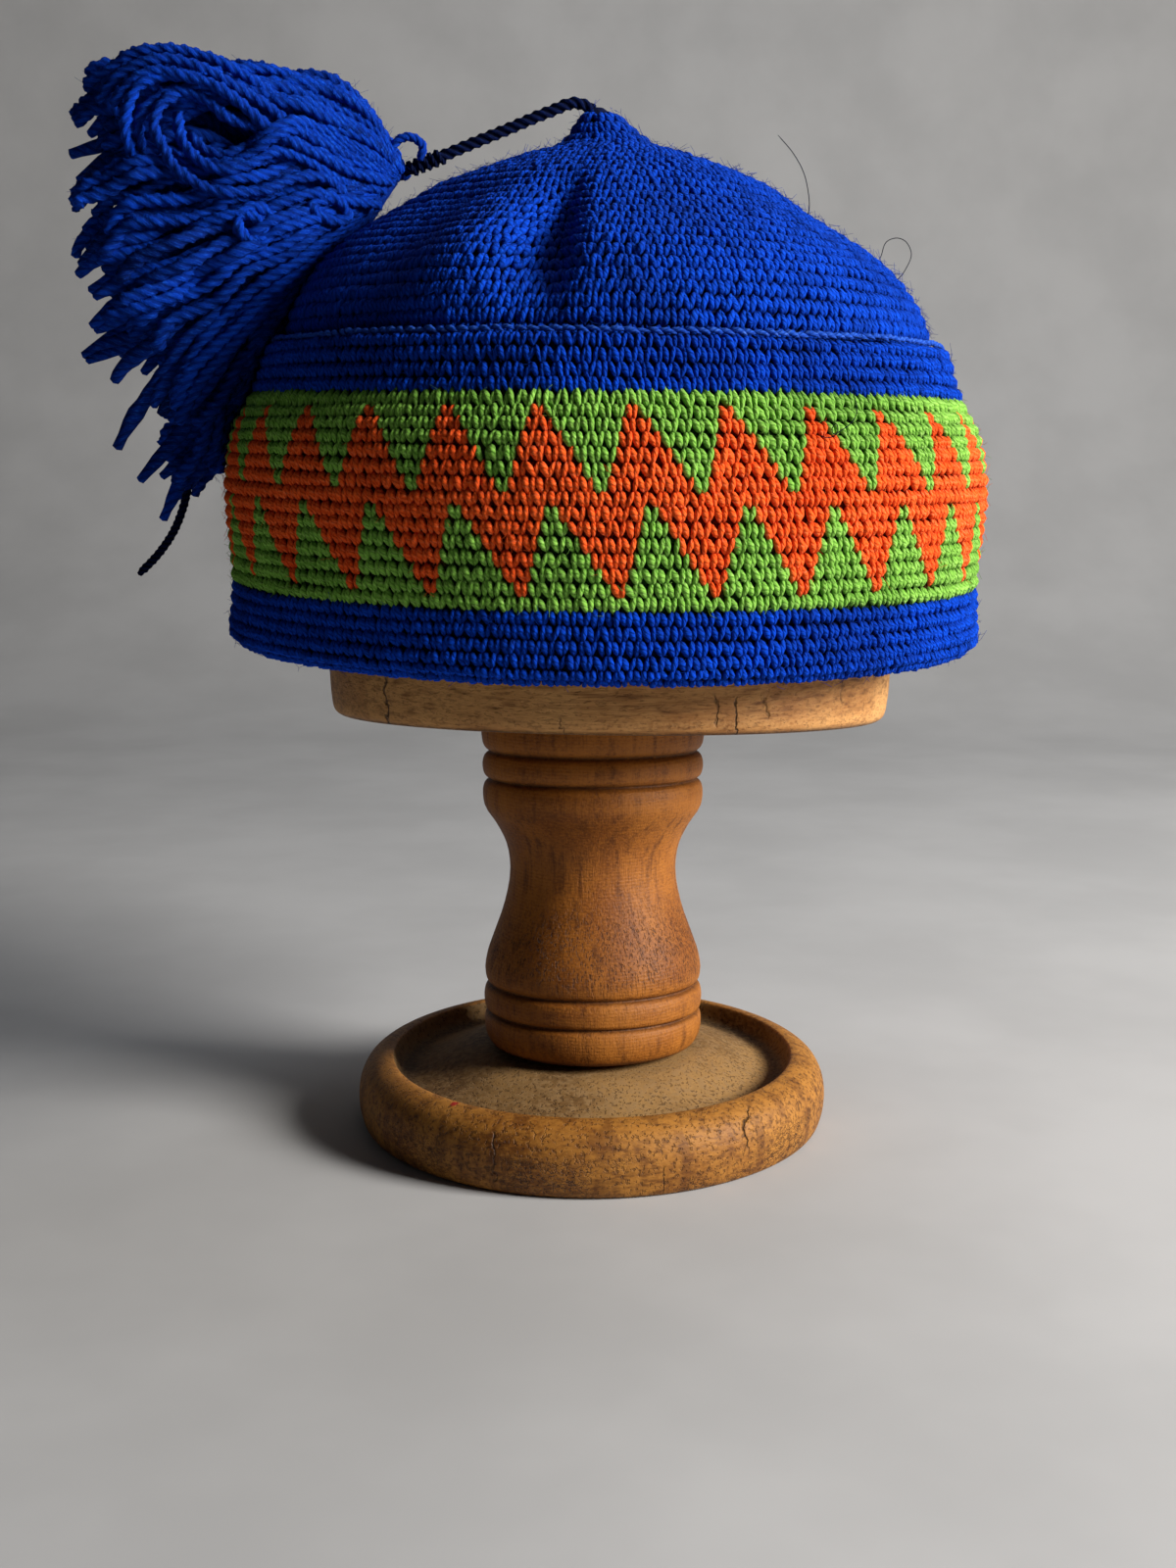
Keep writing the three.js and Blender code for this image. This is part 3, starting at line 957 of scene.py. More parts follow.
@dataclass
class HatStand:
    """The turned stand: a dished base, a grooved spindle and the hat block on it."""

    lean_deg: float = 3.5
    floor_z: float = 20.0
    foot: tuple[float, float] = (0.3, -1.5)
    block_shift: float = 4.3
    block_roll_deg: float = 0.7
    block_lift: float = 0.5
    gap: float = 0.35
    base: TurnedPart = field(init=False)
    spindle: TurnedPart = field(init=False)
    block: TurnedPart = field(init=False)

    def __post_init__(self) -> None:
        """Sets out the three turned parts."""
        self.base = TurnedPart(
            "base_disc",
            "stand_base",
            (
                (0, 0), (61, 0), (62.2, 0.7), (63.2, 3), (63.8, 7.5), (63.2, 12), (61.4, 15.4),
                (58, 17.7), (55.4, 18.3), (54.6, 18.15), (54, 17.2), (53.3, 15.2), (52.4, 14),
                (50.5, 13.5), (44, 15), (36, 18.4), (31, 20), (0, 20),
            ),
            (1, 16),
            TurnedWood(
                "base_wood", "#ae7630", "#83501a", "#502b0d", "#1c0f08", (16.7, 2.5, 2.5),
                flecks=(2, 2, 1.111), fleck_share=0.5, pits=(0.909, 0.909, 1.25), pit_share=0.5,
                pit_zone=(0, 20), bands=0.42, worm=0.8,
                cracks=(Crack(38, 9, 17, 0.5), Crack(-24, 3, 15, 0.4, 0.5), Crack(17.5, 1, 8, 0.4, 0.5)),
                specks=((-41.5, -34, 17.4, 1.0), (-34.4, -44.5, 17.6, 1.3)),
            ),
            edges=(16, 18.2),
            dish=54.4,
            steps=4,
        )
        self.spindle = TurnedPart(
            "spindle_post",
            "stand_spindle",
            (
                (0, 20.4), (25.6, 20.4), (27.2, 21.2), (28.6, 23), (29.4, 25.6), (29.5, 28), (29.2, 29.5),
                (27.9, 30.4), (29.2, 31.3), (29.5, 32.6), (29.5, 35.6), (29.1, 36.9), (27.7, 37.9),
                (28.8, 38.9), (29.2, 40.2), (28.8, 45.5), (27.2, 50.3), (23.9, 59.8), (22.4, 69.3),
                (23.4, 76), (26.1, 81.5), (29.2, 86.4), (29.6, 88.6), (29.5, 91.4), (29.1, 92.5),
                (27.8, 93.6), (29.1, 94.6), (29.6, 96), (29.6, 98.6), (29.1, 99.9), (27.8, 101),
                (29.1, 102.1), (29.7, 103.5), (29.7, 109.6), (0, 109.6),
            ),
            (1, 7, 12, 25, 30, 33),
            TurnedWood(
                "spindle_wood", "#a56520", "#7c440f", "#4c2405", "#2e1406",
                (2.381, 2.381, 28.57), flecks=(1, 1, 0.526), fleck_share=0.32,
                pits=(0.4545, 0.4545, 2.5), pit_share=0.65, pit_zone=(42, 60), lathe=0.06,
            ),
            grooves=(21, 30.4, 37.9, 93.6, 101),
            edges=(28.6, 32.6, 36.2, 39.9, 88.6, 92, 95.6, 99.4, 102.8),
            steps=3,
        )
        self.block = TurnedPart(
            "hat_block",
            "stand_block",
            (
                (0, 110), (69.6, 110), (71.6, 110.3), (72.8, 111.2), (73.4, 112.6), (73.7, 114.4),
                (74.4, 124), (74.8, 150), (73.6, 172), (69.5, 192), (61.5, 208), (50, 221),
                (35, 231.5), (18, 238.5), (0, 241),
            ),
            (1,),
            TurnedWood(
                "block_wood", "#d09a5c", "#a9713a", "#673a14", "#1d0e06", (20, 3.333, 1.333),
                flecks=(8.333, 3.333, 0.833), fleck_share=0.28, pits=(1.43, 1.43, 0.625),
                pit_share=0.25, pit_zone=(108, 130),
                cracks=(
                    Crack(-49.5, 112, 131, 0.55), Crack(33.4, 113, 123, 0.45),
                    Crack(28.6, 117, 124, 0.5, 0.6), Crack(40.5, 118, 123, 0.7, 0.5),
                    Crack(-8, 113, 119, 0.35, 0.4), Crack(60.5, 119, 128, 0.5, 0.35),
                ),
            ),
            grooves=(110.3,),
            edges=(112.6,),
            steps=4,
        )

    def lean(self, points: np.ndarray) -> np.ndarray:
        """Tips points back about the stand's foot, in the dish floor."""
        x, y = self.foot
        return (points - [0, 0, self.floor_z]) @ rotation_x(-self.lean_deg).T + [x, y, self.floor_z]

    def on_post(self, points: np.ndarray) -> np.ndarray:
        """Leans the spindle and keeps its foot on the dish floor.

        Args:
            points: places in millimetres, upright.

        Returns:
            The places where the spindle stands.
        """
        placed = self.lean(points)
        placed[..., 2] = np.maximum(placed[..., 2], self.floor_z + self.gap)
        return placed

    def on_block(self, points: np.ndarray) -> np.ndarray:
        """Rolls and shifts the block on top of the spindle.

        Args:
            points: places in millimetres, upright.

        Returns:
            The places where the block stands.
        """
        foot = self.block.rows[0][1]
        turned = (points - [0, 0, foot]) @ rotation_y(self.block_roll_deg).T
        return self.lean(turned + [self.block_shift, 0, foot + self.block_lift])

    def build(self) -> None:
        """Makes the three wooden pieces."""
        self.base.made(lambda points: points)
        self.spindle.made(self.on_post)
        self.block.made(self.on_block)


# Hat


@dataclass(frozen=True)
class Fold:
    """A push in or out of the crown: where, how far each way, how deep and over what height."""

    azimuth: float
    to_left: float
    to_right: float
    depth: float
    height: float
    below: float
    above: float


@dataclass
class HatWall:
    """The outer face of the crown or the cuff: a profile from its top down, carried round.

    A point at azimuth a and length s down the profile is (x0 + r sin a, -r cos a, h), with r and h
    read from the profile at s, less the folds. The azimuth is 0 at the front and grows towards +X.
    """

    profile: np.ndarray
    folds: tuple[Fold, ...] = ()
    peak_start: float = 254.0
    peak_lean: float = -0.24
    place: tuple[float, float, float] = (3.4, 4.0, 160.0)
    tilt_deg: float = 1.5
    roll_deg: float = 0.6

    def __post_init__(self) -> None:
        """Measures the profile."""
        self.walked = lengths_along(self.profile)
        self.turn = rotation_x(self.tilt_deg) @ rotation_y(self.roll_deg)

    def radius(self, down: np.ndarray) -> np.ndarray:
        """Returns the profile's radius at lengths down it."""
        return np.interp(down, self.walked, self.profile[:, 0])

    def height(self, down: np.ndarray) -> np.ndarray:
        """Returns the profile's height at lengths down it."""
        return np.interp(down, self.walked, self.profile[:, 1])

    def fold_depth(self, azimuth: np.ndarray, height: np.ndarray) -> np.ndarray:
        """Adds up the folds, each depth * exp(-across^2 - along^2).

        Args:
            azimuth: radians from the front towards +X.
            height: heights on the wall.

        Returns:
            How far the wall is pushed in.
        """
        depth = np.zeros(np.broadcast(azimuth, height).shape)
        for fold in self.folds:
            turn = np.degrees(azimuth) - fold.azimuth
            turn = turn - 360 * np.round(turn / 360)
            across = turn / np.where(turn < 0, fold.to_left, fold.to_right)
            rise = height - fold.height
            along = rise / np.where(rise < 0, fold.below, fold.above)
            depth = depth + fold.depth * np.exp(-across * across - along * along)
        return depth

    def bare(self, azimuth: np.ndarray, down: np.ndarray) -> np.ndarray:
        """Finds points of the face in the hat's own place, before it is tilted.

        Args:
            azimuth: radians from the front towards +X.
            down: millimetres down the profile.

        Returns:
            Points in millimetres.
        """
        height = self.height(down)
        reach = np.maximum(0.6, self.radius(down) - self.fold_depth(azimuth, height))
        shift = np.maximum(0, height - self.peak_start) * self.peak_lean
        return np.stack([shift + reach * np.sin(azimuth), -reach * np.cos(azimuth), height], -1)

    def at(self, azimuth: np.ndarray, down: np.ndarray, lift: np.ndarray) -> np.ndarray:
        """Returns points at a height above the face, in the frame.

        Args:
            azimuth: radians from the front towards +X.
            down: millimetres down the profile.
            lift: millimetres out along the face's own direction.

        Returns:
            Points in millimetres.
        """
        azimuth, down, lift = np.broadcast_arrays(azimuth, down, lift)
        here = self.bare(azimuth, down)
        step = 0.4
        swing = step / np.maximum(4.0, self.radius(down))
        side = self.bare(azimuth + swing, down) - self.bare(azimuth - swing, down)
        fall = self.bare(azimuth, down + step) - self.bare(azimuth, np.maximum(0, down - step))
        out = unit(np.cross(fall, side))
        return self.settled(here + out * lift[..., None])

    def settled(self, points: np.ndarray) -> np.ndarray:
        """Tilts points with the hat on its block."""
        return (points - [0, 0, self.place[2]]) @ self.turn.T + self.place

    def unsettled(self, points: np.ndarray) -> np.ndarray:
        """Undoes the hat's tilt."""
        return (points - self.place) @ self.turn + [0, 0, self.place[2]]

    def cleared(self, points: np.ndarray, clearance: float) -> np.ndarray:
        """Moves points that are in or near the wall out of it.

        Each point is set against the nearest row of the profile in its own half plane, and moved
        along that row's outward direction until it is the clearance away.

        Args:
            points: places in millimetres, in the frame.
            clearance: the least distance from the wall.

        Returns:
            The moved points.
        """
        local = self.unsettled(points)
        around = np.hypot(local[..., 0], local[..., 1])
        flat = np.stack([around, local[..., 2]], -1).reshape(-1, 2)
        rows = self.profile[::3]
        step = np.gradient(rows, axis=0)
        out = unit(np.stack([-step[:, 1], step[:, 0]], -1))
        apart = np.linalg.norm(flat[:, None] - rows[None], axis=-1)
        nearest = np.argmin(apart, axis=1)
        signed = np.sum((flat - rows[nearest]) * out[nearest], -1)
        push = np.maximum(0, clearance - signed)
        moved = (flat + out[nearest] * push[:, None]).reshape(around.shape + (2,))
        share = moved[..., 0] / np.maximum(around, 1e-6)
        local = np.stack([local[..., 0] * share, local[..., 1] * share, moved[..., 1]], -1)
        return self.settled(local)


@dataclass(frozen=True)
class StitchLeg:
    """One leaf-shaped leg of a crochet stitch, in shares of the stitch's width and row height."""

    across: float
    wide: float
    long: float
    thick: float
    tilt_deg: float


@dataclass
class Stitcher:
    """Works stitches on a wall. A stitch is two plump legs that meet at one end."""

    wall: HatWall
    legs: tuple[StitchLeg, ...] = (
        StitchLeg(-0.26, 0.6, 1.2, 2.0, 20),
        StitchLeg(0.25, 0.5, 1.16, 1.85, -8),
    )
    angles: tuple[float, ...] = (0, 52, 104, 180, 256, 308)
    rings: int = 3
    full: float = 0.4
    lift: float = -0.5
    arch: float = 0.4
    point: float = 0.1
    lead: float = 3.4
    flip: bool = False
    seed: int = 3
    uneven_wide: float = 0.09
    uneven_long: float = 0.07
    uneven_thick: float = 0.08
    uneven_tilt_deg: float = 7.0
    uneven_lift: float = 0.12
    uneven_place: float = 0.04
    deep_shade: float = 0.3

    def carried(
        self, leg: dict[str, np.ndarray], x: np.ndarray, y: np.ndarray, z: np.ndarray
    ) -> np.ndarray:
        """Tilts places on each leg and carries them onto the wall.

        Args:
            leg: each stitch's azimuth, down, tilt and offset.
            x: millimetres across the leg.
            y: millimetres up along it.
            z: millimetres out from the wall.

        Returns:
            The places in the frame.
        """
        extra = (slice(None),) + (None,) * (x.ndim - 1)
        azimuth, down, tilt, offset = (leg[k][extra] for k in ("azimuth", "down", "tilt", "offset"))
        right = x * np.cos(tilt) - y * np.sin(tilt) + offset
        up = x * np.sin(tilt) + y * np.cos(tilt)
        radius = np.maximum(1.0, self.wall.radius(down))
        return self.wall.at(azimuth + right / radius, down - up, z)

    def worked(
        self, azimuth: np.ndarray, down: np.ndarray, wide: np.ndarray, tall: np.ndarray
    ) -> Sheaf:
        """Works one stitch at each place.

        A leg's half width at a share t of its length is half its width * sin(pi t)^full, and its
        middle stands out by the arch * (sin(pi t) - 0.6). It is tilted in the wall's face and then
        carried onto the wall, so it bends with it. Its sides and ends carry painted shade, darker
        where they go deep in the cloth.

        Args:
            azimuth: each stitch's angle, in radians.
            down: its middle, in millimetres down the profile.
            wide: its width in millimetres.
            tall: its row's height in millimetres.

        Returns:
            The legs as closed tubes.
        """
        rng = np.random.default_rng(self.seed)
        count = len(azimuth)
        share = (np.arange(self.rings) + 0.5) / self.rings
        # Most corners lie on the side that shows
        angle = np.radians(self.angles)
        swell = np.sin(math.pi * share) ** self.full
        sign = -1.0 if self.flip else 1.0
        parts, caps = [], []
        for leg in self.legs:
            chance = rng.normal(size=(6, count))
            width = wide * leg.wide * (1 + self.uneven_wide * chance[0])
            length = tall * leg.long * (1 + self.uneven_long * chance[1])
            thick = leg.thick * (1 + self.uneven_thick * chance[2])
            tilt = np.radians(leg.tilt_deg + self.uneven_tilt_deg * chance[3]) * sign
            lean = 1 + 0.25 * (share - 0.5) * sign
            side = width[:, None, None] / 2 * (swell * lean)[None, :, None] * np.sin(angle)
            rise = length[:, None, None] * (share - 0.5)[None, :, None] * np.ones(len(angle))
            out = thick[:, None, None] / 2 * swell[None, :, None] * np.cos(angle)
            out = out + self.arch * (np.sin(math.pi * share) - 0.6)[None, :, None]
            out = out + (self.lift + self.uneven_lift * chance[4])[:, None, None]
            cap_rise = length[:, None] * np.array([-0.5 - self.point, 0.5 + self.point])
            cap_out = np.full((count, 2), self.lift - 0.6 * self.arch)
            offset = leg.across * wide + self.uneven_place * wide * chance[5]
            stood = {"azimuth": azimuth, "down": down, "tilt": tilt, "offset": offset}
            parts.append(self.carried(stood, side, rise, out))
            caps.append(self.carried(stood, np.zeros_like(cap_rise), cap_rise, cap_out))
        # Painted shade: each leg darker at its sides and back, towards its ends and at its tips
        open_side = 0.15 + 0.85 * ramp(np.cos(angle), -0.5, 0.85)
        open_end = 0.6 + 0.4 * np.sin(math.pi * share)
        shades = np.append(np.outer(open_end, open_side).ravel(), [self.deep_shade] * 2)
        start = rng.uniform(0, 5, count)[:, None]
        along = tall[:, None] * share[None] + start
        tone = np.clip(0.88 + 0.12 * rng.normal(size=count), 0, 1)
        return Sheaf(
            np.concatenate(parts),
            np.concatenate(caps),
            np.concatenate([along] * len(self.legs)),
            np.concatenate([tone] * len(self.legs)),
            np.concatenate([along / self.lead] * len(self.legs)),
            shades,
        )


CUFF_ROWS = (
    (95.0, 131.6), (97.2, 133.4), (97.0, 140.0), (96.5, 148.0), (97.2, 158.0), (97.8, 168.0),
    (97.3, 177.0), (95.2, 185.5), (91.2, 192.5), (88.6, 199.0), (86.2, 205.2),
)
CROWN_ROWS = (
    (82.1, 205.6), (81.5, 210.4), (79.6, 215.2), (76.6, 219.8), (72.2, 225.0), (66.6, 229.4),
    (59.6, 233.8), (51.3, 238.7), (41.4, 245.2), (31.4, 249.4), (22.1, 252.8), (13.6, 255.4),
    (10.0, 257.8), (7.0, 261.0), (4.2, 264.0), (2.2, 266.0), (0.6, 266.9),
)
CROWN_FOLDS = (
    Fold(-10.6, 8.3, 3.7, 11.2, 226, 12, 13),
    Fold(-25, 9, 8, -3.4, 227, 14, 12),
    Fold(-44, 13, 9, 4.4, 229, 14, 12),
    Fold(62, 22, 20, 1.6, 232, 14, 12),
    Fold(150, 16, 14, 3.6, 230, 12, 12),
    Fold(-122, 18, 14, 2.8, 230, 12, 12),
    Fold(-86, 30, 34, -3.4, 237, 13, 9),
)


@dataclass
class ZigzagChart:
    """The band's pattern, counted in stitches: 29 repeats of 7 stitches, and 15 rows.

    Orange grows from one stitch to seven and shrinks again. Its left edge keeps its column on the
    way down the upper half, and its right edge keeps its column in the lower half.
    """

    repeat: int = 7
    repeats: int = 29
    rows: int = 15
    green_start: int = 3
    first_tip_deg: float = 2.9
    lean: float = -0.24

    def stitches(self) -> int:
        """Returns the stitches in one round."""
        return self.repeat * self.repeats

    def azimuth(self, column: np.ndarray, row: np.ndarray) -> np.ndarray:
        """Returns a stitch's angle. Columns lean a quarter stitch to the left with each row."""
        pitch = TURN / self.stitches()
        return math.radians(self.first_tip_deg) + pitch * (column + self.lean * (row - 1))

    def colour(self, column: np.ndarray, row: np.ndarray) -> np.ndarray:
        """Reads the chart: 0 blue, 1 green, 2 orange, for columns and band rows.

        Args:
            column: stitch numbers round the hat.
            row: row numbers, 0 at the top of the band and negative in the blue above it.

        Returns:
            The yarn's number.
        """
        place = np.mod(column, self.repeat)
        upper = (row >= 1) & (row <= 6) & (place < row)
        middle = row == 7
        lower = (row >= 8) & (row <= 13) & (np.mod(place - self.green_start, self.repeat) >= row - 7)
        in_band = (row >= 0) & (row < self.rows)
        green = np.where(upper | middle | lower, YarnColour.ORANGE.value, YarnColour.GREEN.value)
        return np.where(in_band, green, YarnColour.BLUE.value)


@dataclass
class Cuff:
    """The turned-up band, worked in rounds over the zigzag chart."""

    wall_thick: float = 3.6
    blue_above: int = 4
    blue_below: int = 5
    band_top: float = 193.5
    band_bottom: float = 147.2
    cloth_depth: float = 1.2
    # Painted shade behind the blue, green and orange stitches
    behind_shades: tuple[str, str, str] = ("#041548", "#24480f", "#7c1c06")
    chart: ZigzagChart = field(default_factory=ZigzagChart)
    wall: HatWall = field(init=False)

    def __post_init__(self) -> None:
        """Smooths the profile from the top edge down to the rim, and round under it."""
        rim = ((92.8, 130.6),)
        crest = ((84.4, 206.7), (82.9, 206.2))
        rows = np.array(rim + CUFF_ROWS + crest)[::-1]
        self.wall = HatWall(smooth_line(rows, 8))

    def row_places(self) -> tuple[np.ndarray, np.ndarray]:
        """Sets out the rows down the wall.

        Returns:
            Each row's middle in millimetres down the profile, and its height.
        """
        walked, heights = self.wall.walked, self.wall.profile[:, 1]
        outer = slice(np.argmax(heights), None)
        top = np.interp(-self.band_top, -heights[outer], walked[outer])
        bottom = np.interp(-self.band_bottom, -heights[outer], walked[outer])
        crest = walked[np.argmax(heights)]
        above = np.linspace(crest + 1.6, top, self.blue_above + 1)
        band = np.linspace(top, bottom, self.chart.rows + 1)
        # One round more than shows turns in under the rim
        below = np.linspace(bottom, walked[-1] - 1.0, self.blue_below + 2)
        edges = np.concatenate([above[:-1], band[:-1], below])
        return (edges[:-1] + edges[1:]) / 2, np.diff(edges)

    def build(self) -> None:
        """Makes the cloth behind, the stitches of each colour and the chain edge."""
        middles, talls = self.row_places()
        count = self.chart.stitches()
        row, column = np.meshgrid(np.arange(len(middles)), np.arange(count), indexing="ij")
        band_row = row - self.blue_above
        yarn = self.chart.colour(column, band_row)
        azimuth = self.chart.azimuth(column, band_row)
        # Hand tension lets each row wander up and down a little
        wander = 0.22 * np.sin(3 * azimuth + row * 0.9) + 0.16 * np.sin(11 * azimuth + row * 2.3)
        down = middles[row] + wander
        tall = talls[row]
        wide = self.wall.radius(middles)[row] * TURN / count
        for colour in YarnColour:
            chosen = yarn == colour.value
            sheaves = []
            # The first round of green is drawn up into the blue above it
            for first in (True, False):
                here = chosen & ((band_row == 0) == first)
                if not here.any():
                    continue
                point, longer = (0.42, 1.12) if first else (0.1, 1.0)
                stitcher = Stitcher(self.wall, point=point, seed=10 + colour.value)
                sheaves.append(
                    stitcher.worked(azimuth[here], down[here], wide[here], longer * tall[here])
                )
            name = f"cuff_stitches_{colour.name.lower()}"
            place_sheaves(name, sheaves, WOOLS[colour].made())
        self.chain_edge(count)
        self.cloth(middles)

    def chain_edge(self, count: int) -> None:
        """Lays a chain of thin slanting links along the free top edge, which waves a little.

        Args:
            count: the links in one round.
        """
        crest = self.wall.walked[np.argmax(self.wall.profile[:, 1])]
        column = np.arange(count)
        azimuth = TURN * (column + 0.5) / count
        wide = np.full(count, self.wall.radius(crest) * TURN / count)
        down = crest + 0.7 + 0.25 * np.sin(5 * azimuth) + 0.2 * np.sin(13 * azimuth + 1)
        links = (StitchLeg(0.0, 0.46, 1.3, 1.3, 74),)
        stitcher = Stitcher(self.wall, legs=links, lift=0.05, arch=0.35, seed=21)
        sheaf = stitcher.worked(azimuth, down, wide, np.full(count, 3.0))
        finish = Wool("edge_wool", "#082c88", "#2058cc", "#6f9dec")
        place_sheaves("cuff_chain_edge", [sheaf], finish.made())

    def cloth(self, middles: np.ndarray) -> None:
        """Makes the closed band behind the stitches, coloured in painted shade.

        Its outer face lies a little under the wall's face and its inner face at the wall's
        thickness, joined over the top edge and under the rim.

        Args:
            middles: each row's middle, down the profile.
        """
        count = self.chart.stitches()
        down = np.linspace(1.0, self.wall.walked[-1] - 0.6, 44)
        lift = np.full(len(down), -self.cloth_depth)
        inner_down = down[::-3]
        loop_down = np.concatenate([down, inner_down])
        loop_lift = np.concatenate([lift, np.full(len(inner_down), -self.wall_thick + 0.3)])
        column = np.arange(count)
        row = np.interp(loop_down, middles, np.arange(len(middles))) - self.blue_above
        azimuth = self.chart.azimuth(column[None, :], row[:, None])
        points = self.wall.at(azimuth, loop_down[:, None], loop_lift[:, None])
        yarn = self.chart.colour(column[None, :], np.round(row)[:, None])
        # Painted shade: dark copies of each yarn's colour, for the gaps between stitches
        dark = np.array([linear(colour) for colour in self.behind_shades])
        rows = len(loop_down)
        r, c = np.meshgrid(np.arange(rows), column, indexing="ij")
        after_r, after_c = (r + 1) % rows, (c + 1) % count
        quads = np.stack(
            [r * count + c, after_r * count + c, after_r * count + after_c, r * count + after_c], -1
        )
        cloth = place_piece(
            "cuff_cloth",
            points.reshape(-1, 3),
            [quads.reshape(-1, 4)],
            ClothBehind("cuff_behind_shade", True).made(),
            values={"behind": dark[yarn.ravel()]},
        )
        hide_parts("cuff")


@dataclass
class Crown:
    """The crown: a felted crochet dome with a small peak and a deep pucker at the front."""

    wall_thick: float = 3.6
    inside_cuff: float = 3.95
    row_pitch: float = 3.55
    stitch_wide: float = 2.85
    inner_apex: float = 252.0
    wedges: int = 6
    cloth_depth: float = 1.1
    lower_share: float = 0.3
    wall: HatWall = field(init=False)
    lining: HatWall = field(init=False)

    def __post_init__(self) -> None:
        """Smooths the profile from the peak down to the cuff, and on inside it to the rim."""
        self.wall = HatWall(smooth_line(np.array(CROWN_ROWS)[::-1], 6), CROWN_FOLDS)
        lower = np.array(CUFF_ROWS)[::-1] - [self.inside_cuff, 0]
        lower[-1, 1] += 0.35
        rows = np.concatenate([np.array(CROWN_ROWS)[::-1], lower])
        self.lining = HatWall(smooth_line(rows, 3), CROWN_FOLDS)

    def build(self) -> None:
        """Makes the cloth behind and the stitches, lower and upper."""
        self.cloth()
        total = self.wall.walked[-1]
        count = int(total / self.row_pitch)
        edges = total + 1.5 - np.arange(count + 1) * self.row_pitch
        edges = edges[edges > 1.5]
        middles, talls = (edges[:-1] + edges[1:]) / 2, -np.diff(edges)
        split = int(len(middles) * self.lower_share)
        self.stitched("crown_stitches_lower", middles[:split], talls[:split], 31)
        self.stitched("crown_stitches_upper", middles[split:], talls[split:], 32)

    def stitched(self, name: str, middles: np.ndarray, talls: np.ndarray, seed: int) -> None:
        """Works the rows as rounds in equal wedges, with a whole number of stitches in each.

        Args:
            name: the piece's name.
            middles: each row's middle, down the profile.
            talls: each row's height.
            seed: the seed for the hand's unevenness.
        """
        azimuths, downs, wides, heights = [], [], [], []
        for middle, tall in zip(middles, talls):
            radius = float(self.wall.radius(middle))
            each = max(1, round(TURN * radius / self.stitch_wide / self.wedges))
            count = each * self.wedges
            turn = TURN * (np.arange(count) + 0.5) / count + 0.35
            azimuths.append(turn)
            downs.append(middle + 0.3 * np.sin(4 * turn + middle * 0.3))
            wides.append(np.full(count, TURN * radius / count))
            heights.append(np.full(count, tall))
        azimuth, down = np.concatenate(azimuths), np.concatenate(downs)
        wide, tall = np.concatenate(wides), np.concatenate(heights)
        legs = (StitchLeg(-0.25, 0.68, 1.2, 1.9, 17), StitchLeg(0.25, 0.58, 1.16, 1.8, -9))
        angles = (36, 100, 180, 260, 324)
        stitcher = Stitcher(self.wall, legs, angles, full=0.34, arch=0.34, flip=True, seed=seed)
        sheaf = stitcher.worked(azimuth, np.maximum(down, 0.5), wide, tall)
        place_sheaves(name, [sheaf], WOOLS[YarnColour.BLUE].made())

    def cloth(self) -> None:
        """Makes the closed shell behind the stitches, coloured in painted shade.

        Its outer face lies a little under the crown's face and its inner face at the wall's
        thickness. Inside the cuff the outer face is the crown's own.
        """
        wall = self.lining
        sides = 144
        azimuth = TURN * np.arange(sides) / sides
        down = np.concatenate([np.linspace(1.5, 18, 10), np.linspace(20, wall.walked[-1], 60)])
        edge = np.interp(-CROWN_ROWS[0][1], -wall.profile[:, 1], wall.walked)
        lift = -self.cloth_depth * (1 - ramp(down, edge - 1, edge + 3))
        inner_down = np.linspace(wall.walked[-1], 24, 30)
        outer = wall.at(azimuth[None], down[:, None], lift[:, None])
        inner = wall.at(azimuth[None], inner_down[:, None], -self.wall_thick)
        tip = CROWN_ROWS[-2][1]
        apex = wall.settled(np.array([(tip - wall.peak_start) * wall.peak_lean, 0, tip - 0.6]))
        roof = wall.settled(np.array([0, 0, self.inner_apex - self.wall_thick]))
        # From the inner roof down, round the rim and up the outside: azimuth turns with the axis up
        rings = np.concatenate([outer, inner])[::-1]
        sheaf = Sheaf(rings[None], np.stack([roof, apex])[None], np.zeros((1, len(rings))), np.zeros(1))
        faces, uvs = sheaf.faces()
        cloth = place_piece(
            "crown_cloth",
            sheaf.points(),
            faces,
            ClothBehind("crown_behind_shade", False).made(),
            uvs,
        )
        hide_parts("crown")


# Pom-pom, cord and loose yarn

# Lines that the strands follow from the tie outwards, given as pixels across and down
STRAND_PICKS = (
    (
        (410, 168), (396, 144), (371, 110), (331, 84), (285, 78),
        (240, 74), (185, 60), (140, 63), (104, 90),
    ),
    (
        (409, 170), (386, 138), (352, 118), (308, 106), (262, 98),
        (215, 90), (170, 88), (135, 100), (100, 124),
    ),
    (
        (408, 172), (378, 148), (340, 134), (295, 128), (250, 130),
        (205, 135), (165, 145), (130, 160), (96, 176),
    ),
    (
        (406, 175), (370, 160), (325, 155), (280, 160), (235, 170),
        (190, 180), (150, 188), (118, 196), (84, 206),
    ),
    (
        (403, 178), (362, 178), (320, 186), (275, 200), (230, 216),
        (185, 232), (145, 246), (112, 256), (84, 264),
    ),
    (
        (400, 182), (362, 198), (322, 215), (280, 235), (238, 256),
        (195, 276), (155, 296), (125, 312), (100, 326),
    ),
    (
        (396, 186), (362, 214), (326, 238), (288, 262), (250, 288),
        (213, 312), (180, 332), (150, 346), (128, 358),
    ),
    (
        (392, 190), (360, 226), (326, 256), (292, 286), (260, 316),
        (230, 346), (203, 374), (180, 400), (160, 424),
    ),
    (
        (388, 196), (358, 236), (326, 272), (296, 310), (268, 350),
        (240, 390), (214, 428), (190, 460), (163, 494),
    ),
    (
        (385, 200), (357, 243), (328, 283), (300, 325), (276, 368),
        (257, 408), (243, 440), (228, 462), (212, 480),
    ),
)
STRAND_PLANE = -8.0


@dataclass(frozen=True)
class Stray:
    """A strand that lies its own way on the front: how far back it lies, and its x and z."""

    back: float
    points: tuple[tuple[float, float], ...]


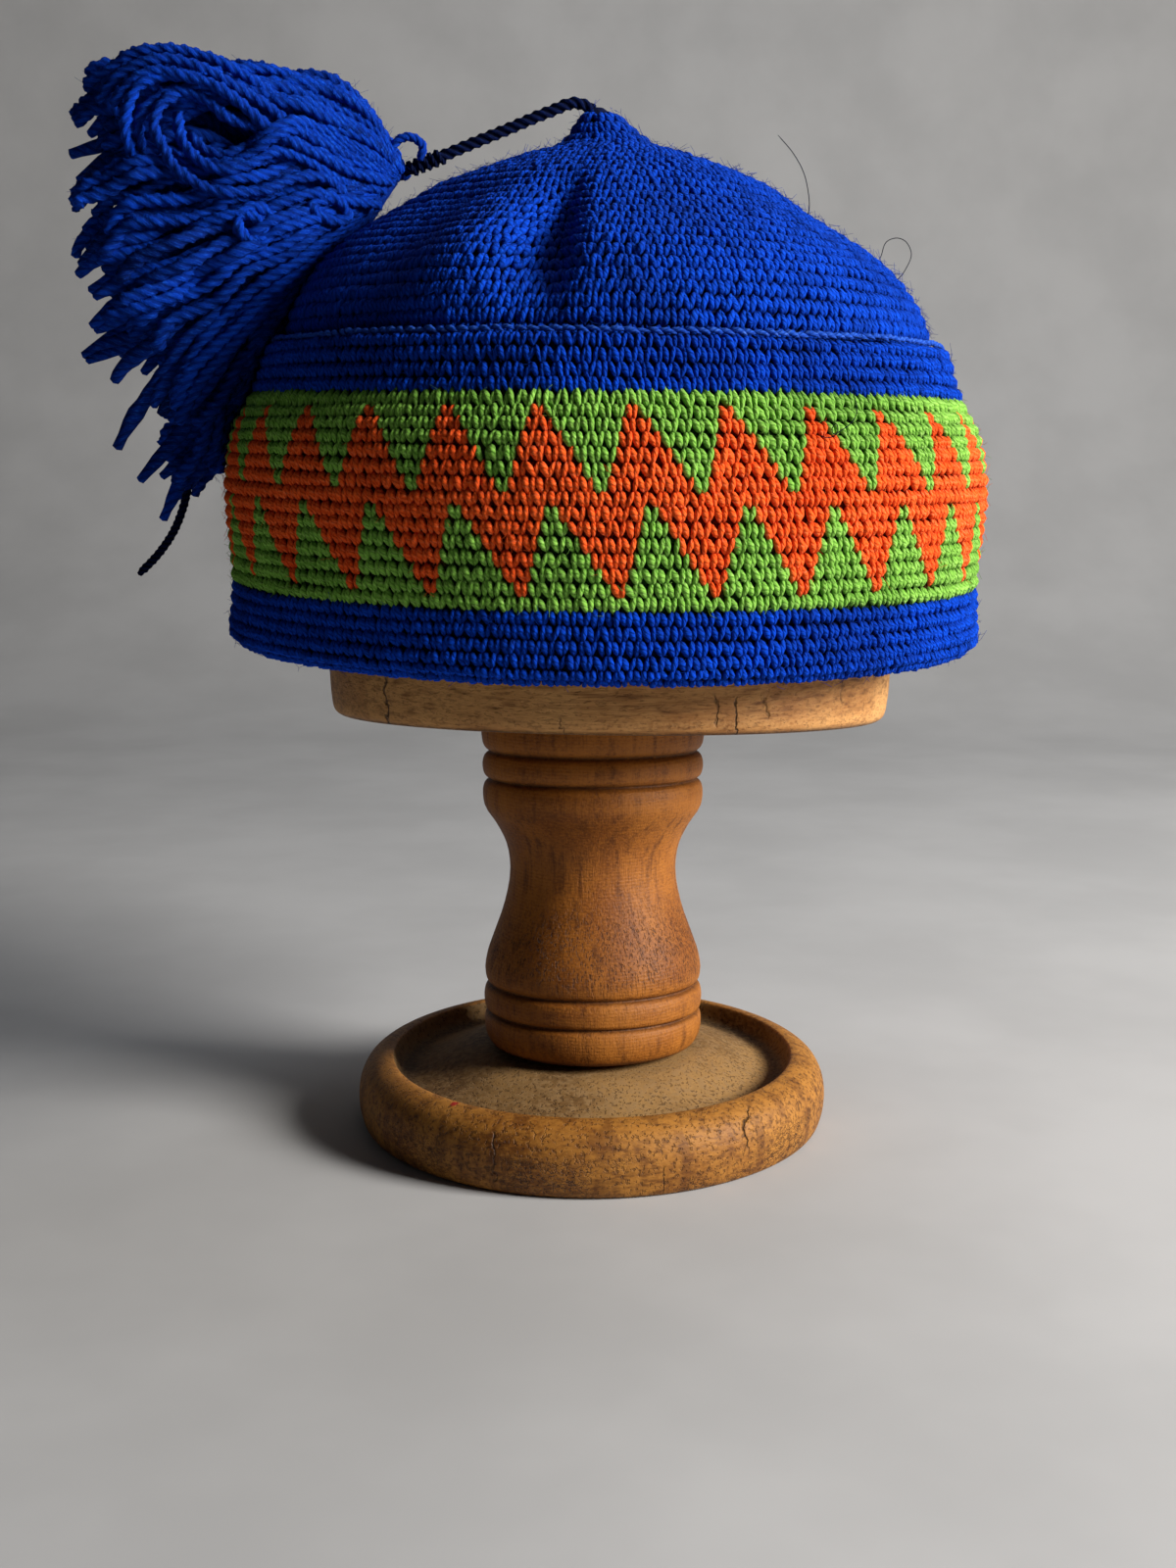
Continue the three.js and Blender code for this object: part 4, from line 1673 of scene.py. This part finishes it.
STRAYS = (
    Stray(0, ((-60, 241), (-65, 245), (-72, 244), (-78, 241), (-84, 240), (-89, 240), (-94, 242),
        (-99, 246), (-101, 250), (-103, 254), (-101, 260), (-96, 263))),
    Stray(2, ((-49, 248), (-57, 250), (-65, 253), (-72, 256), (-77, 260), (-84, 264), (-92, 268),
        (-99, 270), (-106, 269), (-112, 266), (-117, 261))),
    Stray(0, ((-50, 246), (-59, 247), (-66, 250), (-73, 253), (-78, 256), (-84, 261), (-89, 264),
        (-96, 266), (-102, 267), (-109, 264), (-113, 260))),
    Stray(2, ((-52, 244), (-60, 245), (-67, 248), (-74, 252), (-79, 255), (-86, 257), (-91, 261),
        (-97, 263), (-103, 261), (-107, 257), (-107, 250))),
    Stray(1, ((-88, 268), (-96, 266), (-101, 266), (-106, 264), (-109, 259), (-110, 253), (-108, 247))),
    Stray(1, ((-58, 243), (-64, 246), (-70, 249), (-76, 250), (-81, 247), (-88, 245), (-94, 248),
        (-97, 252), (-98, 258))),
    Stray(3, ((-54, 242), (-60, 244), (-66, 248), (-71, 252), (-77, 253), (-82, 251), (-87, 249),
        (-92, 250), (-96, 254))),
    Stray(8, ((-48, 249), (-50, 254), (-54, 260), (-60, 265), (-68, 268), (-75, 268))),
    Stray(14, ((-48, 250), (-51, 254), (-55, 259), (-62, 264), (-69, 268), (-77, 271), (-85, 271),
        (-92, 270))),
    Stray(0, ((-53, 240), (-60, 240), (-65, 240), (-68, 238), (-64, 235), (-60, 236), (-61, 239),
        (-67, 241), (-73, 239), (-80, 236))),
    Stray(0, ((-70, 236), (-76, 235), (-81, 237), (-84, 235), (-84, 231), (-80, 229), (-78, 232),
        (-82, 235), (-89, 234), (-97, 231))),
    Stray(8, ((-92, 263), (-101, 261), (-107, 259), (-113, 259), (-119, 260), (-124, 257))),
    Stray(12, ((-92, 255), (-100, 253), (-106, 254), (-111, 256), (-117, 256), (-120, 252))),
    Stray(6, ((-88, 252), (-96, 249), (-103, 248), (-110, 245), (-116, 244), (-121, 241), (-125, 237))),
    Stray(5, ((-88, 246), (-96, 244), (-102, 243), (-108, 240), (-114, 239), (-120, 236))),
    Stray(7, ((-86, 243), (-94, 241), (-101, 237), (-109, 236), (-114, 234), (-119, 235))),
    Stray(6, ((-88, 240), (-98, 236), (-105, 234), (-112, 231), (-117, 231), (-122, 228))),
    Stray(4, ((-70, 262), (-80, 262), (-89, 266), (-97, 262), (-104, 264), (-110, 268), (-115, 264),
        (-113, 258))),
    Stray(6, ((-56, 256), (-63, 260), (-72, 261), (-80, 266), (-90, 271), (-100, 273), (-109, 272),
        (-116, 268), (-121, 266))),
)


@dataclass(frozen=True)
class StrandShell:
    """One layer of the pom-pom: its share of the full size, its strands and how they are made."""

    share: float
    pairs: int
    rings: int
    fine: bool


# One wool fibre, drawn thicker than life so that it shows
FIBRE = Yarn(0.13, lead=9.0, valley=1.0, sides=3, blunt=0.6)


@dataclass
class PomPom:
    """Long strands of yarn, tied at one end and fanned out over the hat's left side."""

    wall: HatWall
    yarn: Yarn = Yarn(
        3.3, lead=8.8, valley=0.78, blunt=0.6, thin_start=0.6, thick_end=1.2, slub=0.14
    )
    farthest: float = -128.5
    shells: tuple[StrandShell, ...] = (
        StrandShell(1.0, 36, 128, True),
        StrandShell(0.86, 29, 44, False),
        StrandShell(0.62, 20, 30, False),
        StrandShell(0.36, 11, 26, False),
    )
    hollow: tuple[float, float] = (-88.0, 256.5)
    half_depth: tuple[tuple[float, float], ...] = (
        (0, 2.5), (0.1, 10), (0.3, 19), (0.5, 25), (0.75, 27.5), (1.1, 26),
    )
    middle_depth: tuple[tuple[float, float], ...] = ((0, -2), (0.4, -5), (1.1, -5))
    tie_x: float = -47.0
    long: float = 78.0
    seed: int = 5

    def section(self, share: np.ndarray) -> tuple[np.ndarray, np.ndarray]:
        """Reads the bundle's section at shares of its length.

        Args:
            share: 0 at the tie and 1 at the usual end.

        Returns:
            The y of its middle, and half its depth.
        """
        at, middles = np.array(self.middle_depth).T
        places, halves = np.array(self.half_depth).T
        return np.interp(share, at, middles), np.interp(share, places, halves)

    def guides(self, rings: int, reach: np.ndarray) -> np.ndarray:
        """Reads the guide lines at even shares of their length.

        Args:
            rings: points for each line.
            reach: how much of its guide each strand covers, 1 for all of it.

        Returns:
            strands x guides x rings x 2 places.
        """
        lines = []
        for rows in VIEW.met(np.array(STRAND_PICKS), STRAND_PLANE):
            bent = even_line(smooth_line(rows, 6), 60)
            lines.append(np.vstack([bent, 2 * bent[-1:] - bent[-7:-6]]))
        share = np.append(np.linspace(0, 1, 60), 1 + 6 / 59)
        wanted = np.linspace(0, 1, rings)[None, :] * reach[:, None]
        stacked = [[np.interp(wanted, share, line[:, k]) for k in (0, 1)] for line in lines]
        return np.array(stacked).transpose(2, 0, 3, 1)

    def shell_paths(self, shell: StrandShell, rng: np.random.Generator) -> np.ndarray:
        """Lays out one layer of strands, in pairs that cling together.

        A strand at an angle a round the bundle lies at the share (1 - s cos a) / 2 between the top
        and the bottom guides and s sin a of the bundle's half depth, for a layer of share s. Each
        pair wavers by a few sines of its own, and the ends curl.

        Args:
            shell: the layer.
            rng: the source of chance.

        Returns:
            strands x rings x 3 centre lines.
        """
        pairs, rings = shell.pairs, shell.rings
        count = 2 * pairs
        pair = np.repeat(np.arange(pairs), 2)
        member = np.tile([-0.24, 0.24], pairs)
        wander = rng.uniform(-0.3, 0.3, pairs)[pair] + rng.uniform(-0.1, 0.1, count)
        turn = TURN * (pair + 0.5 + member + wander) / pairs
        reach = rng.uniform(0.84, 1.04, pairs)[pair] + rng.uniform(-0.03, 0.03, count)
        across = np.clip(0.5 - 0.5 * shell.share * np.cos(turn), 0, 1)
        depth = shell.share * np.sin(turn)
        lines = self.guides(rings, reach)
        step = across * (len(STRAND_PICKS) - 1.0001)
        low = np.floor(step).astype(int)
        part = (step - low)[:, None, None]
        pick = np.arange(count)
        flat = lines[pick, low] * (1 - part) + lines[pick, low + 1] * part
        share = np.linspace(0, 1, rings)[None] * reach[:, None]
        middle, half = self.section(share)
        path = np.stack([flat[..., 0], middle + depth[:, None] * half, flat[..., 1]], -1)
        often = np.array([0.8, 1.9, 3.8])[:, None, None, None]
        far = np.array([1.9, 1.3, 0.55])[:, None, None, None]
        phase = rng.uniform(0, TURN, (3, pairs, 1, 3))[:, pair] + rng.normal(0, 0.25, (3, count, 1, 3))
        size = rng.normal(0, 1, (3, pairs, 1, 3))[:, pair] * far
        sway = (size * np.sin(TURN * often * share[None, ..., None] + phase)).sum(0)
        path = path + sway * ramp(share, 0.02, 0.45)[..., None]
        curl = rng.normal(0, 3.2, (count, 1, 3)) - [0, 0, 1.5]
        path = path + curl * (np.maximum(0, share - 0.72) / 0.28)[..., None] ** 2
        return self.settled(path)

    def settled(self, path: np.ndarray) -> np.ndarray:
        """Opens the dark hollow, and lays the strands on the hat instead of in it.

        Args:
            path: strands x rings x 3 centre lines.

        Returns:
            The lines where they come to rest.
        """
        off = path[..., ::2] - np.array(self.hollow)
        far = np.hypot(off[..., 0] / 1.6, off[..., 1])
        front = ramp(-path[..., 1], 4, 16)
        push = 7.0 * np.exp(-((far / 7) ** 2)) * front
        away = off / np.maximum(far, 1.0)[..., None]
        sunk = 8 * np.exp(-((far / 5) ** 2)) * front
        path = path + np.stack([0 * push, sunk, push * away[..., 1]], -1)
        limit = self.farthest + 0.3 * np.maximum(0, -path[..., 1])
        over = np.maximum(0, limit - path[..., 0])
        path[..., 0] = path[..., 0] + over - 4 * np.tanh(over / 4)
        for clearance in (2.6, 2.4, 2.3):
            path = self.wall.cleared(path, clearance)
            eased = (path[:, :-2] + 2 * path[:, 1:-1] + path[:, 2:]) / 4
            path = np.concatenate([path[:, :1], eased, path[:, -1:]], axis=1)
        return path

    def stray_paths(self, stray: Stray, rings: int) -> np.ndarray:
        """Lays one stray strand on the front of the bundle.

        Args:
            stray: its own way.
            rings: points along it.

        Returns:
            1 x rings x 3 centre line.
        """
        flat = even_line(smooth_line(np.array(stray.points), 8), rings)
        middle, half = self.section(np.clip((self.tie_x - flat[:, 0]) / self.long, 0, 1.1))
        front = middle - half - 1.2
        rise = np.sin(math.pi * np.linspace(0, 1, rings)) ** 0.5
        y = front + stray.back + 3.0 * (1 - rise)
        return np.stack([flat[:, 0], y, flat[:, 1]], -1)[None]

    def build(self) -> None:
        """Makes the layers of strands, the strays on top and the heart of the bundle."""
        rng = np.random.default_rng(self.seed)
        outer, inner, fronts = [], [], None
        for shell in self.shells:
            paths = self.shell_paths(shell, rng)
            tone = np.clip(rng.normal(0.72, 0.2, len(paths)), 0, 1)
            sheaf = self.yarn.wound(paths, tone, shell.fine)
            (outer if shell.fine else inner).append(sheaf)
            fronts = paths if shell.fine else fronts
        loose = Yarn(3.2, lead=8.8, valley=0.78, blunt=0.8, slub=0.13)
        for stray in STRAYS:
            length = lengths_along(smooth_line(np.array(stray.points), 8))[-1]
            path = self.stray_paths(stray, max(24, int(length / 0.8)))
            inner.append(loose.wound(path, rng.uniform(0.6, 1.0, 1), True))
        finish = POMPOM_WOOL.made()
        strands = place_sheaves("pompom_strands", outer, finish)
        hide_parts("pompom")
        place_sheaves("pompom_inner_strands", inner, finish)
        place_sheaves("pompom_nap", [self.nap(fronts, rng)], finish)

    def nap(self, paths: np.ndarray, rng: np.random.Generator, count: int = 2600) -> Sheaf:
        """Grows short bent fibres out of random places on the strands.

        Args:
            paths: the strands' centre lines.
            rng: the source of chance.
            count: how many fibres.

        Returns:
            The fibres as thin closed tubes.
        """
        strand = rng.integers(0, len(paths), count)
        ring = rng.integers(4, paths.shape[1], count)
        way = unit(rng.normal(size=(count, 1, 3)))
        turn = unit(rng.normal(size=(count, 1, 3)))
        length = rng.uniform(0.8, 2.8, (count, 1, 1))
        share = np.array([0, 1.0])[None, :, None]
        start = paths[strand, ring][:, None] + way * 1.3
        path = start + length * (way * share + 0.7 * turn * share**2)
        return FIBRE.wound(path, rng.uniform(0.5, 1, count), False)


# Three long hairs caught in the wool, given from end to end: y, then pixels across and down
HAIR_PICKS = (
    (
        (-20.0, 793.8, 137.7), (-20.0, 809.7, 156.8), (-20.0, 820.0, 175.9), (-20.0, 824.4, 193.8),
        (-20.0, 825.7, 212.9), (-18.0, 823.0, 222.0),
    ),
    (
        (4.0, 896.0, 268.0), (4.0, 899.0, 261.4), (4.0, 904.1, 247.3), (2.0, 914.3, 242.9),
        (0.0, 924.5, 246.7), (0.0, 930.0, 258.8), (0.0, 924.5, 274.1), (0.0, 918.2, 283.1),
        (2.0, 910.0, 288.0),
    ),
    (
        (-77.5, 864.0, 370.0), (-78.5, 865.0, 380.0), (-79.5, 866.6, 391.5), (-80.0, 871.2, 403.0),
        (-80.5, 873.8, 412.9), (-80.8, 873.8, 422.8), (-81.5, 867.3, 432.8), (-82.5, 857.4, 439.7),
        (-83.2, 851.3, 443.5), (-83.8, 849.0, 438.1), (-83.8, 852.8, 432.0), (-83.3, 855.2, 436.6),
        (-82.8, 852.0, 444.5), (-83.0, 844.4, 446.6), (-83.5, 837.5, 444.7),
    ),
)


@dataclass
class Nap:
    """Loose wool fibres that stand out of the worked cloth."""

    crown: HatWall
    cuff: Cuff
    seed: int = 8

    def hairs(self, wall: HatWall, azimuth: np.ndarray, down: np.ndarray, long: float) -> Sheaf:
        """Grows one bent fibre at each place.

        A fibre leaves the wall along its face, at a random heading, and rises as it goes.

        Args:
            wall: the wall.
            azimuth: angles in radians.
            down: millimetres down the profile.
            long: the usual length of a fibre.

        Returns:
            The fibres as thin closed tubes.
        """
        rng = np.random.default_rng(self.seed)
        count = len(azimuth)
        length = long * rng.uniform(0.5, 1.5, count)
        heading = rng.uniform(0, TURN, count)
        bend = rng.normal(0, 1.1, count)
        share = np.array([0, 0.5, 1.0])
        way = heading[:, None] + bend[:, None] * share
        along = length[:, None] * share * 0.75
        radius = np.maximum(4, wall.radius(down))[:, None]
        rise = 0.3 + length[:, None] * rng.uniform(0.15, 0.6, count)[:, None] * share**1.3
        path = wall.at(
            azimuth[:, None] + along * np.cos(way) / radius,
            np.clip(down[:, None] + along * np.sin(way), 0.5, wall.walked[-1]),
            rise,
        )
        return FIBRE.wound(path, rng.uniform(0.5, 1, count), False)

    def scattered(
        self, wall: HatWall, count: int, top: float, bottom: float
    ) -> tuple[np.ndarray, np.ndarray]:
        """Picks random places on a wall, evenly by area.

        Args:
            wall: the wall.
            count: how many places.
            top: millimetres down the profile where they start.
            bottom: millimetres down it where they end.

        Returns:
            Their angles in radians, and millimetres down the profile.
        """
        rng = np.random.default_rng(self.seed + count)
        down = np.linspace(top, bottom, 200)
        weight = np.cumsum(wall.radius(down))
        picked = np.interp(rng.uniform(0, 1, count), weight / weight[-1], down)
        return rng.uniform(0, TURN, count), picked

    def build(self) -> None:
        """Makes the fibres of the crown and the band in their yarns' colours, and the hairs."""
        blues = []
        azimuth, down = self.scattered(self.crown, 3000, 2, self.crown.walked[-1] - 1)
        blues.append(self.hairs(self.crown, azimuth, down, 3.2))
        wall, chart = self.cuff.wall, self.cuff.chart
        azimuth, down = self.scattered(wall, 2200, 3, wall.walked[-1] - 1)
        row_height = (self.cuff.band_top - self.cuff.band_bottom) / chart.rows
        row = np.floor((self.cuff.band_top - wall.height(down)) / row_height)
        turned = (azimuth - math.radians(chart.first_tip_deg)) * chart.stitches() / TURN
        yarn = chart.colour(np.round(turned - chart.lean * (row - 1)), row)
        for colour in YarnColour:
            chosen = yarn == colour.value
            sheaf = self.hairs(wall, azimuth[chosen], down[chosen], 2.6)
            if colour is YarnColour.BLUE:
                blues.append(sheaf)
            else:
                name = f"nap_{colour.name.lower()}"
                place_sheaves(name, [sheaf], WOOLS[colour].made())
        place_sheaves("nap_blue", blues, WOOLS[YarnColour.BLUE].made())
        self.caught_hairs()

    def caught_hairs(self) -> None:
        """Lays the long hairs that are caught in the wool."""
        paths = []
        for rows in HAIR_PICKS:
            picks = np.array(rows)
            seen = VIEW.met(picks[:, 1:], picks[:, 0])
            bends = np.stack([seen[:, 0], picks[:, 0], seen[:, 1]], -1)
            paths.append(even_line(smooth_line(bends, 6), 48))
        thin = Yarn(0.22, lead=9.0, valley=1.0, sides=5, blunt=0.5)
        hairs = thin.wound(np.stack(paths), np.full(len(paths), 0.3), False)
        place_sheaves("loose_hairs", [hairs], CORD_WOOL.made())


@dataclass
class TieCord:
    """The twisted cord from the peak to the pom-pom, its binding and the small loop at its end."""

    path: tuple[tuple[float, float, float], ...] = (
        (0.6, 0.4, 264.6), (-3.6, 0, 266.2), (-10.8, -0.4, 264), (-20.6, -1, 260),
        (-30.6, -1.6, 256), (-40.5, -2, 252), (-47.5, -2, 249.3),
    )
    tail: tuple[tuple[float, float, float], ...] = (
        (-103, -6, 181), (-103.6, -6, 174), (-105.4, -6.4, 166), (-107.8, -7, 160),
        (-111.8, -8, 154), (-117, -9, 148.6),
    )
    loop: tuple[tuple[float, float, float], ...] = (
        (-47.6, -4.5, 248.8), (-50.2, -5.5, 252.6), (-48.7, -6, 256.0), (-45.3, -6, 257.0),
        (-42.4, -5.5, 255.0), (-43.2, -4.6, 251.8),
    )
    diameter: float = 3.0
    tail_diameter: float = 2.2
    proud: float = 1.08
    coil_radius: float = 1.5
    coil_turns: int = 5

    def build(self) -> None:
        """Makes the cord, the loose yarn under the pom-pom, the binding and the loop."""
        finish = CORD_WOOL.made()
        line = even_line(smooth_line(np.array(self.path), 8), 40)
        dense = even_line(smooth_line(np.array(self.path), 8), 120)
        yarn = Yarn(self.diameter * self.proud, lead=7.5, valley=0.7, sides=12, blunt=0.8)
        sheaf = yarn.wound(dense[None], np.array([0.6]))
        cord = place_sheaves("peak_cord", [sheaf], finish)
        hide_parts("cord")
        binding = self.binding(line, finish)
        loop = self.small_loop()
        tail_line = even_line(smooth_line(np.array(self.tail), 8), 30)
        tail_dense = even_line(smooth_line(np.array(self.tail), 8), 60)
        tail_yarn = Yarn(self.tail_diameter * self.proud, lead=4.6, valley=0.76, sides=9, blunt=0.7)
        tail_sheaf = tail_yarn.wound(tail_dense[None], np.array([0.5]))
        tail = place_sheaves("loose_yarn", [tail_sheaf], finish)
        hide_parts("pompom_tail")

    def binding(self, line: np.ndarray, finish: bpy.types.Material) -> bpy.types.Object:
        """Winds yarn round the cord where it meets the pom-pom.

        The winding's centre line is the cord's, plus a circle that turns as it goes along.

        Args:
            line: the cord's centre line.
            finish: the yarn's finish.

        Returns:
            The winding.
        """
        share = np.linspace(0, 1, 90)
        start, end = line[31], line[38]
        middle = start + (end - start) * share[:, None]
        way = unit((end - start)[None])[0]
        over = unit(np.cross(way, [0, 1, 0])[None])[0]
        across = np.cross(over, way)
        angle = TURN * self.coil_turns * share[:, None]
        coil = middle + self.coil_radius * (np.cos(angle) * across + np.sin(angle) * over)
        sheaf = Yarn(1.5, lead=4.0, valley=0.8).wound(coil[None], np.array([0.5]))
        return place_sheaves("cord_binding", [sheaf], finish)

    def small_loop(self) -> bpy.types.Object:
        """Bends the binding's free end into a small loop.

        Returns:
            The loop.
        """
        line = even_line(smooth_line(np.array(self.loop), 8), 40)
        sheaf = Yarn(2.5, lead=6.0, valley=0.8, sides=8).wound(line[None], np.array([0.9]))
        return place_sheaves("tie_loop", [sheaf], POMPOM_WOOL.made())


# Studio


@dataclass
class Studio:
    """Pale floor, soft lights and the camera, in metres."""

    view: View = VIEW
    clip: tuple[float, float] = (0.01, 50)
    aim: tuple[float, float, float] = (0.0, 0.0, 0.15)
    floor_front: float = -3.0
    floor_side: float = 3.0
    bend_start: float = 0.7
    bend_radius: float = 0.5
    wall_height: float = 3.0

    def camera(self) -> None:
        """Sets the camera at the photograph's angle."""
        data = bpy.data.cameras.new("camera")
        data.lens = self.view.lens
        data.sensor_width = self.view.sensor
        data.clip_start, data.clip_end = self.clip
        camera = bpy.data.objects.new("camera", data)
        camera.location = self.view.place
        camera.rotation_euler = (math.radians(90 - self.view.pitch_deg), 0, 0)
        bpy.context.scene.collection.objects.link(camera)
        bpy.context.scene.camera = camera

    def floor(self) -> None:
        """Makes a floor that rises in a wide curve behind the stand.

        Its section runs level, round a quarter circle and then straight up.
        """
        bend = np.radians(np.linspace(0, 90, 19))
        level = np.array([[self.floor_front, 0.0], [-1.0, 0.0], [0.55, 0.0]])
        ahead = self.bend_start + self.bend_radius * np.sin(bend)
        curve = np.stack([ahead, self.bend_radius * (1 - np.cos(bend))], -1)
        top = [[self.bend_start + self.bend_radius, self.wall_height]]
        section = np.vstack([level, curve, top])
        x = np.array([-self.floor_side, self.floor_side])
        grid = np.stack(
            [
                np.broadcast_to(x[None], (len(section), 2)),
                np.broadcast_to(section[:, :1], (len(section), 2)),
                np.broadcast_to(section[:, 1:], (len(section), 2)),
            ],
            -1,
        )
        row = np.arange(len(section) - 1)[:, None] * 2
        quads = row + np.array([[0, 1, 3, 2]])
        mesh = bpy.data.meshes.new("floor")
        mesh.from_pydata(grid.reshape(-1, 3).tolist(), [], quads.tolist())
        mesh.shade_smooth()
        mesh.materials.append(Backdrop().made())
        floor = bpy.data.objects.new("floor", mesh)
        bpy.context.scene.collection.objects.link(floor)

    def lamp(
        self, name: str, place: tuple[float, float, float], size: float, power: float, tint: str
    ) -> None:
        """Hangs one square soft light that points at the hat.

        Args:
            name: the light's name.
            place: where it hangs, in metres.
            size: its side, in metres.
            power: its power, in watts.
            tint: its colour.
        """
        data = bpy.data.lights.new(name, "AREA")
        data.size = size
        data.energy = power
        data.color = linear(tint)[:3]
        lamp = bpy.data.objects.new(name, data)
        lamp.location = place
        way = np.array(self.aim) - np.array(place)
        flat = math.hypot(way[0], way[1])
        lamp.rotation_euler = (math.atan2(flat, -way[2]), 0, math.atan2(way[1], way[0]) - math.pi / 2)
        bpy.context.scene.collection.objects.link(lamp)

    def lights(self) -> None:
        """Lights the hat softly from the upper right, with a weak fill from the left."""
        self.lamp("window_side", (1.02, -0.42, 0.57), 0.42, 27, "#fffaf4")
        self.lamp("top_back", (0.25, 0.4, 1.15), 0.6, 2.6, "#f4f8ff")
        self.lamp("fill_left", (-0.6, -1.1, 0.5), 1.0, 0.15, "#eef3ff")
        world = bpy.data.worlds.new("room")
        world.use_nodes = True
        world.node_tree.nodes["Background"].inputs[0].default_value = linear("#c9ccd2")
        world.node_tree.nodes["Background"].inputs[1].default_value = 0.015
        bpy.context.scene.world = world
        bpy.context.scene.view_settings.view_transform = "Standard"


def main() -> None:
    """Builds the hat and its stand."""
    logging.basicConfig(level=logging.INFO, format="%(message)s")
    studio = Studio()
    studio.camera()
    TieCord().build()
    HatStand().build()
    crown = Crown()
    crown.build()
    cuff = Cuff()
    cuff.build()
    outside = HatWall(np.vstack([crown.wall.profile[:-2], cuff.wall.profile[8:]]))
    PomPom(outside).build()
    Nap(crown.wall, cuff).build()
    studio.floor()
    studio.lights()


if __name__ == "__main__":
    main()
